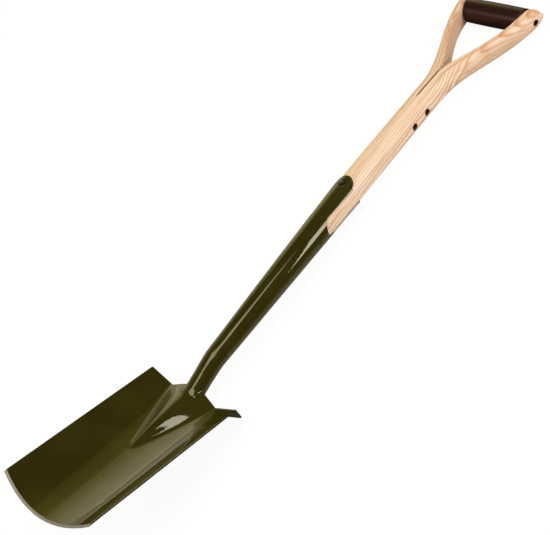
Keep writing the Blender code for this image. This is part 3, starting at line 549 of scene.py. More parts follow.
def wing_height(across, along):
    """The dish outside the frog, which runs straight under the treads so that they fold flat."""
    valley = dish_height(FROG_HALF_WIDTH, along)
    share = (abs(across) - FROG_HALF_WIDTH) / (blade_half_width(along) - FROG_HALF_WIDTH)
    straight = mix(valley, BLADE_EDGE_HEIGHT, share)
    blend = smooth_step((along - TREAD_LINE + TREAD_STRAIGHTENING) / TREAD_STRAIGHTENING)
    if share < 0.0:
        return dish_height(across, along)
    return mix(dish_height(across, along), straight, blend)


def frog_half_width(along):
    """The frog's sides bow out a little between its point and its shoulders."""
    share = max(along + FROG_LENGTH, 0.0) / (TREAD_LINE + FROG_LENGTH)
    return FROG_HALF_WIDTH * share**FROG_SIDE_POWER


def frog_height(across, along, half_width):
    """Height of the frog's tent, which dives below the dish outside its valleys."""
    rise = (along + FROG_LENGTH) / (SHOULDER_LINE + FROG_LENGTH)
    crest = mix(dish_height(0.0, along), FROG_CREST_HEIGHT, rise) + arch(FROG_CREST_BOW, rise)
    rounding = FROG_CREST_ROUNDING * half_width
    flank = (math.hypot(across, rounding) - rounding) / (math.hypot(half_width, rounding) - rounding)
    return mix(crest, dish_height(half_width, along), flank)


def front_height(across, along):
    """Front of the blade: the dish and the frog, run together softly along the valleys."""
    wing = wing_height(across, along)
    half_width = frog_half_width(along)
    if half_width < MM:
        return wing
    frog = frog_height(across, along, half_width)
    rounding = bpy.context.scene.spade_steelwork.valley_rounding
    fade = smooth_step(half_width / FROG_POINT_HALF_WIDTH)
    soft = 0.5 * (wing + frog + math.hypot(wing - frog, rounding))
    return mix(max(wing, frog), soft, fade)


# Socket surface and its foot on the frog

def socket_point(turn, height, inset=0.0):
    """A point on the socket's wall: turn is 0 at the front and grows towards +X."""
    radius = socket_radius(height) - inset
    return Vector((radius * math.sin(turn), shaft_line(height) - radius * math.cos(turn), height))


def foot_height(turn):
    """Lower end of the socket's wall: on the frog in front, cut at the shoulders behind."""
    def in_frog(height):
        point = socket_point(turn, height)
        along, above = blade_coordinates(point)
        return along < SHOULDER_LINE and above < front_height(point.x, along)

    return bisect(-CRANK_HEIGHT, CRANK_HEIGHT, in_frog)[1]


def notch_line(across):
    """Where along the blade the socket's foot meets the frog, across its width."""
    turn = math.asin(clamp(abs(across) / SOCKET_NECK_RADIUS))
    return blade_coordinates(socket_point(turn, foot_height(turn)))[0]


def top_line(across, notch):
    """The sheet's top edge: the notch round the socket, the shoulders, then the level tread line."""
    distance = abs(across)
    if distance <= SOCKET_NECK_RADIUS:
        return notch(distance) - WELD_ROOT_GAP
    if distance >= FROG_HALF_WIDTH:
        return TREAD_LINE
    share = (distance - SOCKET_NECK_RADIUS) / (FROG_HALF_WIDTH - SOCKET_NECK_RADIUS)
    return mix(notch(SOCKET_NECK_RADIUS) - WELD_ROOT_GAP, TREAD_LINE, share)


def cutting_line(across):
    share = clamp(abs(across) / BLADE_HALF_WIDTH)
    return TREAD_LINE - BLADE_SIDE_LENGTH - BLADE_TIP_BULGE * (1.0 - share**2)


# Blade piece

def frog_shares():
    """Columns over half of the frog, closer together where the socket's notch turns up."""
    notch = SOCKET_NECK_RADIUS / FROG_HALF_WIDTH
    inner = [notch * math.sin(QUARTER_TURN * i / NOTCH_COLUMNS) for i in range(NOTCH_COLUMNS + 1)]
    return inner + steps(notch, 1.0, FLANK_COLUMNS)[1:]


def column_positions(along, shares):
    """Blade columns at one row, from left to right, with the valleys of the frog on a column each."""
    spread = clamp((-FROG_LENGTH - along) / (BLADE_SIDE_LENGTH - FROG_LENGTH))
    valley = max(frog_half_width(along), mix(FROG_POINT_HALF_WIDTH, TIP_INNER_HALF_WIDTH, spread))
    right = [valley * share for share in shares]
    right += steps(valley, blade_half_width(along), WING_COLUMNS)[1:]
    return [-across for across in reversed(right[1:])] + right


def blade_points():
    """Front points of the blade row by row from the cutting edge, and each one's distance from it."""
    shares = frog_shares()
    known = {}

    def notch(across):
        key = round(across / ONE_POINT)
        if key not in known:
            known[key] = notch_line(across)
        return known[key]

    ground = steps(0.0, GROUND_EDGE_WIDTH, GROUND_ROWS) + [GROUND_EDGE_WIDTH + GROUND_BORDER]
    levels = [0.0] * len(ground) + [i / BLADE_ROWS for i in range(1, BLADE_ROWS + 1)]
    points = []
    distances = []
    for r, level in enumerate(levels):
        nominal = mix(TREAD_LINE - BLADE_SIDE_LENGTH, TREAD_LINE, level)
        for across in column_positions(nominal, shares):
            start = cutting_line(across)
            along = start + ground[min(r, len(ground) - 1)]
            along = mix(along, top_line(across, notch), level)
            points.append(blade_point(across, along, front_height(across, along)))
            distances.append(along - start)
    return points, distances, len(levels)


def tread_rows(shares):
    """Rows of the fold and the tread behind it, for the wing columns only."""
    wings = [across for across in column_positions(TREAD_LINE, shares)
             if abs(across) >= FROG_HALF_WIDTH - 1e-9]
    turn_total = QUARTER_TURN - TREAD_RISE
    rows = []
    stations = [(turn_total * i / BEND_ROWS, 0.0) for i in range(1, BEND_ROWS + 1)]
    stations += [(turn_total, flat) for flat in steps(0.0, TREAD_DEPTH - TREAD_BEND_RADIUS, TREAD_ROWS)[1:]]
    for turn, flat in stations:
        along = TREAD_BEND_RADIUS * math.sin(turn) + flat * math.sin(TREAD_RISE)
        drop = TREAD_BEND_RADIUS * (1.0 - math.cos(turn)) + flat * math.cos(TREAD_RISE)
        rows.append([blade_point(across, TREAD_LINE + along, wing_height(across, TREAD_LINE) - drop)
                     for across in wings])
    return rows


def blade_bmesh():
    points, distances, row_count = blade_points()
    columns = len(points) // row_count
    rows = [range(r * columns, (r + 1) * columns) for r in range(row_count)]
    quads = []
    for row, after in zip(rows, rows[1:]):
        quads += strip(row, after)
    left = slice(0, WING_COLUMNS + 1)
    right = slice(-WING_COLUMNS - 1, None)
    below = [*rows[-1][left], *rows[-1][right]]
    for row in tread_rows(frog_shares()):
        above = list(range(len(points), len(points) + len(row)))
        points += row
        distances += [BLADE_SIDE_LENGTH] * len(row)
        quads += strip(below[left], above[left]) + strip(below[right], above[right])
        below = above
    ground_off = SHEET_THICKNESS - GROUND_EDGE_THICKNESS
    drops = [ground_off * clamp(1.0 - distance / GROUND_EDGE_WIDTH) for distance in distances]
    rounding = bpy.context.scene.spade_steelwork.rim_rounding
    return sheet_bmesh(points, quads, SHEET_THICKNESS, rounding, drops)


def store_edge_distance(piece):
    """Keep each point's distance from the cutting edge, which the paint's lower border follows."""
    mesh = piece.data
    store = mesh.attributes.new("edge_distance", 'FLOAT', 'POINT')
    for vert, value in zip(mesh.vertices, store.data):
        place = UNLAID @ vert.co
        along, _ = blade_coordinates(place)
        value.value = along - cutting_line(place.x)


# Socket piece

def strap_limits(height):
    """How far the front and the rear strap reach round at a height, from the middle of each."""
    lower = WINDOW_BOTTOM + WINDOW_HALF_WIDTH - height
    opening = math.sqrt(max(WINDOW_HALF_WIDTH**2 - max(lower, 0.0)**2, 0.0))
    ahead = shaft_line(height) - shaft_line(WINDOW_BOTTOM)
    radius = socket_radius(height)
    front = math.acos(clamp((opening + ahead) / radius, -1.0))
    rear = math.acos(clamp((opening - ahead) / radius, -1.0))
    over = height - (SOCKET_TOP - STRAP_HALF_WIDTH)
    if over > 0.0:
        end = math.asin(clamp(math.sqrt(max(STRAP_HALF_WIDTH**2 - over**2, 0.0)) / radius))
        front = min(front, end)
        rear = min(rear, end)
    return front, rear


def dimple_inset(turn, height):
    """The strap is pressed in round its rivet, in front and behind."""
    settings = bpy.context.scene.spade_steelwork
    across = socket_radius(height) * math.sin(turn)
    distance = math.hypot(across, height - STRAP_RIVET_HEIGHT)
    edge = (settings.dimple_radius - distance) / (settings.dimple_radius - STRAP_RIVET_HEAD_RADIUS)
    return settings.dimple_depth * smooth_step(edge)


def socket_bmesh():
    half = SOCKET_HALF_COLUMNS
    turns = [2 * QUARTER_TURN * (i / half) - QUARTER_TURN for i in range(2 * half)]
    points = []
    quads = []
    feet = [foot_height(turn) for turn in turns]
    rings = []
    for level in steps(0.0, 1.0, SOCKET_ROWS):
        share = level**SOCKET_ROW_CROWDING
        rings.append(list(range(len(points), len(points) + len(turns))))
        points += [socket_point(turn, mix(foot, WINDOW_BOTTOM, share)) for turn, foot in zip(turns, feet)]
    for row, above in zip(rings, rings[1:]):
        quads += strip(row + row[:1], above + above[:1])
    heights = [WINDOW_BOTTOM + WINDOW_HALF_WIDTH * (1.0 - math.cos(turn))
               for turn in quarter_turns(WINDOW_ROWS)[1:]]
    straps_end = SOCKET_TOP - STRAP_HALF_WIDTH
    heights += steps(heights[-1], straps_end, STRAP_ROWS)[1:]
    heights += [straps_end + STRAP_HALF_WIDTH * math.sin(turn)
                for turn in steps(0.0, STRAP_END_TURN, STRAP_END_ROWS)[1:]]
    top = rings[-1]
    for strap, middle in ((0, 0.0), (1, 2 * QUARTER_TURN)):
        below = top[:half + 1] if strap == 0 else top[half:] + [top[0]]
        for height in heights:
            limit = strap_limits(height)[strap]
            above = list(range(len(points), len(points) + half + 1))
            for share in steps(-1.0, 1.0, half):
                turn = middle + limit * share
                points.append(socket_point(turn, height, dimple_inset(turn, height)))
            quads += strip(below, above)
            below = above
    rounding = bpy.context.scene.spade_steelwork.rim_rounding
    return sheet_bmesh(points, quads, SOCKET_WALL, rounding)


# Fillet piece, between socket and frog

def fillet_section(turn, tangent, size):
    """Cross-section of the fillet, touching the socket's wall and the frog without a crease."""
    settings = bpy.context.scene.spade_steelwork
    height = foot_height(turn)
    corner = socket_point(turn, height)
    along, _ = blade_coordinates(corner)
    here = blade_point(corner.x, along, front_height(corner.x, along))
    ahead = blade_point(corner.x, along - MM, front_height(corner.x, along - MM))
    beside = blade_point(corner.x + MM, along, front_height(corner.x + MM, along))
    frog_normal = (beside - here).cross(here - ahead).normalized()
    away = frog_normal.cross(tangent).normalized()
    down = socket_point(turn, height) - socket_point(turn, height + MM)
    if away.dot(down) < 0.0:
        away.negate()
    wall_toe = socket_point(turn, height + settings.wall_leg * size, -WELD_TOE_LIFT)
    toe = corner + away * settings.frog_leg * size
    toe_along, _ = blade_coordinates(toe)
    frog_toe = blade_point(toe.x, toe_along, front_height(toe.x, toe_along) + WELD_TOE_LIFT)
    root = socket_point(turn, height, WELD_ROOT_INSET)
    face = [wall_toe * (1 - t)**2 + corner * 2 * t * (1 - t) + frog_toe * t**2
            for t in steps(0.0, 1.0, FILLET_STEPS)]
    return [root] + face


def fillet_bmesh():
    """The fillet round the front of the socket's foot, as far as the shoulders."""
    def before_shoulder(turn):
        return notch_line(SOCKET_NECK_RADIUS * math.sin(turn)) < SHOULDER_LINE - WELD_END_CLEARANCE

    reach = bisect(0.0, QUARTER_TURN, before_shoulder)[0]
    turns = steps(-reach, reach, FILLET_TURNS)
    corners = [socket_point(turn, foot_height(turn)) for turn in turns]
    bm = bmesh.new()
    rings = []
    for i, turn in enumerate(turns):
        tangent = (corners[min(i + 1, len(turns) - 1)] - corners[max(i - 1, 0)]).normalized()
        size = mix(WELD_END_SIZE, 1.0, smooth_step((reach - abs(turn)) / WELD_END_FADE))
        rings.append([bm.verts.new(point) for point in fillet_section(turn, tangent, size)])
    join_rings(bm, rings)
    bm.faces.new(rings[0])
    bm.faces.new(rings[-1])
    bmesh.ops.recalc_face_normals(bm, faces=bm.faces)
    return bm


# Shaft piece

def arm_outer(height):
    return hermite(height, SHAFT_WAIST, PIN_HEIGHT,
                   SHAFT_WAIST_RADIUS, ARM_OUTER_AT_PIN, 0.0, ARM_OUTER_SLOPE)


def arm_inner_at_pin():
    return ARM_OUTER_AT_PIN - ARM_THICKNESS_AT_PIN


def grip_seat_start():
    """Height from which the arms' inner faces are flat, for the grip to sit between them."""
    return PIN_HEIGHT - GRIP_SEAT_REACH * GRIP_MIDDLE_RADIUS


def arm_inner(height):
    """Inner face of an arm: the saw cut up to the crotch, then the opening; flat beside the grip."""
    saw = 0.5 * SAW_KERF
    if height <= CROTCH:
        return saw * clamp((height - SPLIT_START) / SAW_RUN_IN)
    flat_from = grip_seat_start()
    at_flat = arm_inner_at_pin() + ARM_INNER_SLOPE * (flat_from - PIN_HEIGHT)
    if height >= flat_from:
        return arm_inner_at_pin() + ARM_INNER_SLOPE * (height - PIN_HEIGHT)
    return hermite(height, CROTCH, flat_from, saw, at_flat, CROTCH_SLOPE, ARM_INNER_SLOPE)


def wood_section(height):
    """Outer reach, inner reach, half depth and edge rounding of one half of the shaft."""
    if height <= SPLIT_START:
        radius = shaft_radius(height)
        return radius, 0.0, radius, 0.0
    share = (height - SPLIT_START) / (PIN_HEIGHT - SPLIT_START)
    depth = mix(shaft_radius(SPLIT_START), ARM_HALF_DEPTH, smooth_step(share * ARM_SLIMMING_HASTE))
    opened = smooth_step((height - CROTCH) / (PIN_HEIGHT - CROTCH) * ARM_ROUNDING_HASTE)
    rounding = mix(KERF_EDGE_ROUNDING, ARM_EDGE_ROUNDING, opened)
    outer = arm_outer(height)
    inner = arm_inner(height)
    if height > PIN_HEIGHT:
        over = (height - PIN_HEIGHT) / ARM_END_RADIUS
        round_off = math.sqrt(max(1.0 - over**2, 0.0))
        depth *= round_off
        ease = ARM_END_EASING * (1.0 - round_off)
        inner += ease
        outer = arm_outer(PIN_HEIGHT) + ARM_OUTER_SLOPE * (height - PIN_HEIGHT) - ease
        rounding = min(rounding, 0.5 * depth)
    return outer, inner, depth, rounding


def wood_half_ring(height):
    """Right half of a section: the outer chain from back to front, then the inner chain back again."""
    outer, inner, depth, rounding = wood_section(height)
    centre = shaft_line(height)
    chain = []
    for turn in steps(QUARTER_TURN, -QUARTER_TURN, WOOD_HALF_SEGMENTS):
        across = inner + rounding + (outer - inner - rounding) * max(math.cos(turn), 0.0)
        chain.append((across, centre + depth * math.sin(turn), height))
    if height < SPLIT_START:
        return chain, []
    flat = depth - rounding
    corner = [(inner + rounding * (1.0 - math.sin(turn)), flat + rounding * math.cos(turn))
              for turn in quarter_turns(CORNER_STEPS)[1:-1]]
    inside = [(across, centre - off, height) for across, off in corner]
    inside += [(inner, centre + off, height) for off in steps(-flat, flat, INNER_FACE_COLUMNS)]
    inside += [(across, centre + off, height) for across, off in reversed(corner)]
    return chain, inside


def handle_turn(height):
    """The handle's twist at a height, growing from nothing at the split."""
    return HANDLE_TWIST * smooth_step((height - SPLIT_START) / (grip_seat_start() - SPLIT_START))


def turned_about_shaft(point, turn):
    x, y, z = point
    behind = y - shaft_line(z)
    return (x * math.cos(turn) - behind * math.sin(turn),
            shaft_line(z) + x * math.sin(turn) + behind * math.cos(turn), z)


def twisted(points):
    return [turned_about_shaft(point, handle_turn(point[2])) for point in points]


def mirrored(points):
    return [(-x, y, z) for x, y, z in points]


class Welder:
    """Adds faces by coordinates, so that points in one place become one vertex."""

    def __init__(self):
        self.bm = bmesh.new()
        self.known = {}

    def vertex(self, point):
        key = tuple(round(value / ONE_POINT) for value in point)
        if key not in self.known:
            self.known[key] = self.bm.verts.new(point)
        return self.known[key]

    def face(self, points):
        corners = list(dict.fromkeys(self.vertex(point) for point in points))
        if len(corners) > 2 and not self.bm.faces.get(corners):
            self.bm.faces.new(corners)


def wood_heights():
    """Stations up the shaft, a row spacing apart, with one on each height where its shape changes."""
    marks = [SHAFT_FOOT, SHAFT_FOOT + SHAFT_FOOT_CHAMFER, SOCKET_TOP, SPLIT_START,
             SPLIT_START + SAW_RUN_IN, CROTCH, PIN_HEIGHT]
    heights = [SHAFT_FOOT]
    for low, high in zip(marks, marks[1:]):
        heights += steps(low, high, max(1, round((high - low) / WOOD_ROW_SPACING)))[1:]
    heights += [PIN_HEIGHT + ARM_END_RADIUS * math.sin(turn)
                for turn in steps(0.0, ARM_END_TURN, ARM_END_ROWS)[1:]]
    return heights


def shaft_bmesh():
    rings = [wood_half_ring(height) for height in wood_heights()]
    shrink = 1.0 - SHAFT_FOOT_INSET / shaft_radius(SHAFT_FOOT)
    middle = shaft_line(SHAFT_FOOT)
    rings[0] = ([(x * shrink, middle + (y - middle) * shrink, z) for x, y, z in rings[0][0]], [])
    welder = Welder()
    for (chain, inside), (chain_above, inside_above) in zip(rings, rings[1:]):
        if inside:
            lower = chain + inside
            upper = chain_above + inside_above
            spans = [(i, (i + 1) % len(lower)) for i in range(len(lower))]
        else:
            lower = chain
            upper = chain_above
            spans = [(i, i + 1) for i in range(len(chain) - 1)]
        for i, j in spans:
            quad = [lower[i], lower[j], upper[j], upper[i]]
            welder.face(twisted(quad))
            welder.face(twisted(mirrored(quad)))
    foot = rings[0][0]
    welder.face(foot + mirrored(foot[1:-1])[::-1])
    top = rings[-1][0] + rings[-1][1]
    welder.face(twisted(top))
    welder.face(twisted(mirrored(top)))
    bmesh.ops.recalc_face_normals(welder.bm, faces=welder.bm.faces)
    return welder.bm


def store_grain(piece):
    """Keep where each point of the wood lay before the arms were bent, which the grain follows."""
    mesh = piece.data
    store = mesh.attributes.new("grain", 'FLOAT_VECTOR', 'POINT')
    for vert, value in zip(mesh.vertices, store.data):
        point = UNLAID @ vert.co
        x, y, z = turned_about_shaft(point, -handle_turn(point.z))
        side = math.copysign(1.0, x)
        value.vector = (x - side * arm_inner(z), y - shaft_line(z), z)


# Turned rivets

def lathe_rings(bm, profile, segments, place):
    """Rings of vertices from (along, radius) points, or one vertex where the radius is 0.

    place puts a point's part along the axis and its two parts off the axis in order.
    """
    rings = []
    for along, radius in profile:
        turns = [2 * math.pi * i / segments for i in range(segments if radius else 1)]
        rings.append([bm.verts.new(place(along, radius * math.cos(turn), radius * math.sin(turn)))
                      for turn in turns])
    return rings


def turned_bmesh(profile):
    """Lathe a closed profile round the X axis, its ends on the axis or meeting."""
    bm = bmesh.new()
    rings = lathe_rings(bm, profile, RIVET_SEGMENTS, lambda along, one, other: (along, one, other))
    join_rings(bm, rings + rings[:1] if profile[0][1] else rings)
    bmesh.ops.recalc_face_normals(bm, faces=bm.faces)
    return bm


def dome(base, rise, radius, power=2.4):
    """Profile of a domed head from its rim to its crown."""
    points = [(base + rise * math.sin(turn)**(2.0 / power), radius * math.cos(turn)**(2.0 / power))
              for turn in quarter_turns(DOME_STEPS)[:-1]]
    return points + [(base + rise, 0.0)]


def head_profile(seat, shank, head, thickness):
    """A head outwards from its seat: its flat underside, its edge and its dome."""
    rim = HEAD_RIM_SHARE * thickness
    underside = [(seat, shank), (seat, head - RIVET_EDGE), (seat + RIVET_EDGE, head)]
    return underside + dome(seat + rim, thickness - rim, head)


def two_ended(left, right):
    """A rivet's whole profile, from its left end, given outwards like the right one."""
    return [(-along, radius) for along, radius in reversed(left)] + right


def cross_rivet_profile(floor, shank, head, thickness):
    """A rivet across the shaft: domed head on the right, peened end over its burr on the left."""
    seat = floor + SEAT_GAP
    burr_top = seat + BURR_THICKNESS + SEAT_GAP
    return two_ended(head_profile(burr_top, shank, PEEN_SHARE * head, thickness),
                     head_profile(seat, shank, head, thickness))


def burr_profile(floor, shank, head):
    """A washer under the peened end."""
    near = -floor - SEAT_GAP
    far = near - BURR_THICKNESS
    bore = shank + SEAT_GAP
    ease = RIVET_EDGE
    return [(far, bore + ease), (far, head - ease), (far + ease, head), (near - ease, head),
            (near, head - ease), (near, bore + ease), (near - ease, bore), (far + ease, bore)]


def strap_rivet_profile():
    crown = socket_radius(STRAP_RIVET_HEIGHT) - 0.5 * STRAP_RIVET_SINK
    rim = socket_radius(STRAP_RIVET_HEIGHT) - 2.0 * STRAP_RIVET_SINK
    half = [(rim - MM, STRAP_RIVET_RADIUS), (rim - MM, STRAP_RIVET_HEAD_RADIUS - 0.3 * MM)]
    half += dome(rim, crown - rim, STRAP_RIVET_HEAD_RADIUS - 0.1 * MM)
    return two_ended(half, half)


def socket_rivet_profile():
    seat = socket_radius(SOCKET_RIVET_HEIGHT)
    half = [(seat - MM, SOCKET_RIVET_RADIUS), (seat - MM, SOCKET_RIVET_HEAD_RADIUS)]
    half += dome(seat, SOCKET_RIVET_HEAD_RISE + SEAT_GAP, SOCKET_RIVET_HEAD_RADIUS, 2.0)
    return two_ended(half, half)


def cut_recess(piece, height, reach, floor, radius, turn):
    """Cut the round recesses for a rivet's head and burr into both sides of the wood."""
    for side in (-1.0, 1.0):
        inner = side * floor
        outer = side * (reach + RECESS_OVERREACH)
        bm = turned_bmesh([(inner, 0.0), (inner, radius), (outer, radius), (outer, 0.0)])
        place = Matrix.Translation((0.0, shaft_line(height), height)) @ Matrix.Rotation(turn, 4, 'Z')
        cutter = make_piece("recess_cutter", bm, 30.0, LAID @ place)
        modifier = piece.modifiers.new("recess", 'BOOLEAN')
        modifier.operation = 'DIFFERENCE'
        modifier.solver = 'EXACT'
        modifier.object = cutter
        plain_mesh(piece)
        bpy.data.objects.remove(cutter)


# Node trees

def feed(tree, socket, value):
    """Give a socket a wire, or else a number, a vector, a setting or a colour of three parts."""
    if isinstance(value, Wire):
        tree.links.new(value.socket, socket)
    elif socket.type == 'RGBA':
        socket.default_value = (*value, 1.0)
    else:
        socket.default_value = value


def add_maths(tree, operation, *values):
    """A Math node over wires and numbers."""
    node = tree.nodes.new('ShaderNodeMath')
    node.operation = operation
    for socket, value in zip(node.inputs, values):
        feed(tree, socket, value)
    return Wire(tree, node.outputs[0])


def maths_of_two(operation, reflected=False):
    """A method of Wire that adds a Math node; reflected where the wire stands second."""
    def method(self, other):
        values = (other, self) if reflected else (self, other)
        return add_maths(self.tree, operation, *values)
    return method


class Wire:
    """One output of a node. Sums and products of wires add their own Math nodes."""

    def __init__(self, tree, socket):
        self.tree = tree
        self.socket = socket

    __add__ = maths_of_two('ADD')
    __radd__ = maths_of_two('ADD', True)
    __sub__ = maths_of_two('SUBTRACT')
    __rsub__ = maths_of_two('SUBTRACT', True)
    __mul__ = maths_of_two('MULTIPLY')
    __rmul__ = maths_of_two('MULTIPLY', True)
    __truediv__ = maths_of_two('DIVIDE')
    __pow__ = maths_of_two('POWER')
    at_most = maths_of_two('MINIMUM')
    at_least = maths_of_two('MAXIMUM')

    def maths(self, operation):
        """The value through a Math node that takes it alone."""
        return add_maths(self.tree, operation, self)


class Bench:
    """A node tree to build on."""

    def __init__(self, tree):
        self.tree = tree

    def plug(self, node, inputs):
        """Give a node's sockets, by name or number, their values or wires."""
        for key, value in dict(inputs).items():
            feed(self.tree, node.inputs[key], value)

    def node(self, kind, settings=(), inputs=()):
        """Add a node: its settings first, then its sockets."""
        made = self.tree.nodes.new(kind)
        for key, value in dict(settings).items():
            setattr(made, key, value)
        self.plug(made, inputs)
        return made

    def wire(self, kind, settings=(), inputs=(), output=0):
        return Wire(self.tree, self.node(kind, settings, inputs).outputs[output])

    def place(self):
        return self.wire('ShaderNodeTexCoord', output="Object")

    def split(self, vector):
        """The three parts of a vector."""
        node = self.node('ShaderNodeSeparateXYZ', {}, {0: vector})
        return [Wire(self.tree, part) for part in node.outputs]

    def noise(self, vector, scale, detail=2.0, roughness=0.5):
        return self.wire('ShaderNodeTexNoise', {}, {"Vector": vector, "Scale": scale, "Detail": detail,
                                                   "Roughness": roughness})

    def streaks(self, vector, scales, detail=2.0, roughness=0.5):
        """Noise with a scale of its own in each direction."""
        drawn_out = self.wire('ShaderNodeMapping', {}, {"Vector": vector, "Scale": scales})
        return self.noise(drawn_out, 1.0, detail, roughness)

    def ramp(self, value, stops):
        """A grey curve through its stops, each a place and a level."""
        node = self.node('ShaderNodeValToRGB', {}, {"Fac": value})
        elements = node.color_ramp.elements
        while len(elements) < len(stops):
            elements.new(0.5)
        for element, (place, level) in zip(elements, stops):
            element.position = place
            element.color = (level, level, level, 1.0)
        return Wire(self.tree, node.outputs[0])

    def span(self, value, low, high, way='LINEAR'):
        """0 below low, 1 above high, straight between."""
        return self.wire('ShaderNodeMapRange', {"interpolation_type": way},
                         {"Value": value, "From Min": low, "From Max": high})

    def band(self, value, low, high):
        """0 below low, 1 above high, smooth between."""
        return self.span(value, low, high, 'SMOOTHSTEP')

    def blend(self, share, start, end):
        """Mix of two colours."""
        return self.wire('ShaderNodeMix', {"data_type": 'RGBA'}, {0: share, 6: start, 7: end}, 2)

    def shade(self, colour, value):
        """A colour made darker or lighter by a value."""
        return self.wire('ShaderNodeVectorMath', {"operation": 'SCALE'}, {0: colour, "Scale": value})

    def bump(self, height, distance, strength, **more):
        return self.wire('ShaderNodeBump', {}, {"Height": height, "Distance": distance,
                                                "Strength": strength, **more})


def hypotenuse(one, other):
    """The long side over two wires at right angles."""
    return (one * one + other * other) ** 0.5


def toned(colour, level):
    return [level * part for part in colour]


def start_material(name):
    material = bpy.data.materials.new(name)
    material.use_nodes = True
    bench = Bench(material.node_tree)
    return material, bench, material.node_tree.nodes["Principled BSDF"]


# Finishes

def make_olive_paint(name="olive_gloss_paint", with_ground_edge=False):
    """Thick gloss paint with faint orange peel; on the blade it ends at the ground cutting edge."""
    settings = bpy.context.scene.spade_steelwork
    material, bench, shader = start_material(name)
    place = bench.place()
    cloud = bench.noise(place, 14.0, 3.0)
    fine = bench.noise(place, 220.0)
    thin = bench.band(cloud + (fine - 0.5) * 0.25, 0.35, 0.7)
    paint = bench.blend(thin, settings.paint_deep, settings.paint)
    peel = bench.noise(place, 1.0 / settings.orange_peel, 1.0, 0.4)
    swell = bench.noise(place, 55.0)
    ripple = bench.noise(place, 150.0, 1.0)
    uneven = peel * 0.07 + swell * 0.12 + ripple * 0.05
    rough = settings.paint_roughness * (0.85 + 0.3 * cloud)
    # Painted shade: the paint darkens in the strap's dimple and on its rivet head, where the recess lies in
    # shade
    rivet = LAID @ Vector((0.0, shaft_line(STRAP_RIVET_HEIGHT), STRAP_RIVET_HEIGHT))
    across, up_shaft, _ = bench.split(place)
    away = hypotenuse(across, up_shaft - rivet.y)
    dimple = bench.band(away, settings.dimple_radius, STRAP_RIVET_HEAD_RADIUS)
    ring = dimple * bench.band(away, STRAP_RIVET_HEAD_RADIUS - DIRT_RING_WIDTH, STRAP_RIVET_HEAD_RADIUS)
    paint = bench.blend(dimple * 0.75, paint, DIMPLE_SHADE)
    rough = rough + 0.35 * ring
    bench.plug(shader, {"Specular Tint": settings.gloss_tint})
    if not with_ground_edge:
        bench.plug(shader, {"Base Color": paint, "Roughness": rough,
                            "Normal": bench.bump(uneven, PEEL_DEPTH, PEEL_STRENGTH)})
        return material
    distance = bench.wire('ShaderNodeAttribute', {"attribute_name": "edge_distance"}, {}, "Fac")
    ragged = (bench.noise(place, 900.0, 3.0) - 0.5) * RAGGED_BORDER
    width = GROUND_EDGE_WIDTH
    painted = bench.band(distance + ragged, width - PAINT_BORDER, width + PAINT_BORDER)
    bare = 1.0 - painted
    scratches = bench.streaks(place, (1400.0, 90.0, 90.0), 3.0, 0.6)
    steel = bench.blend(scratches, toned(settings.bare_steel, 0.62), toned(settings.bare_steel, 1.25))
    # Painted shade: a darker line in the bare steel along the top of the bevel, where its slope changes
    bevel_shade = bench.band(distance, BEVEL_SHADE_FROM, BEVEL_SHADE_TO)
    steel = bench.blend(bevel_shade * 0.55, steel, BEVEL_SHADE_STEEL)
    scratched = bench.bump(scratches * bare, SCRATCH_DEPTH, 0.6)
    bench.plug(shader, {"Base Color": bench.blend(painted, steel, paint),
                        "Metallic": bare * 0.35,
                        "Roughness": painted * rough + bare * (0.34 + 0.2 * scratches),
                        "Normal": bench.bump(uneven * painted, PEEL_DEPTH, PEEL_STRENGTH,
                                             Normal=scratched)})
    return material


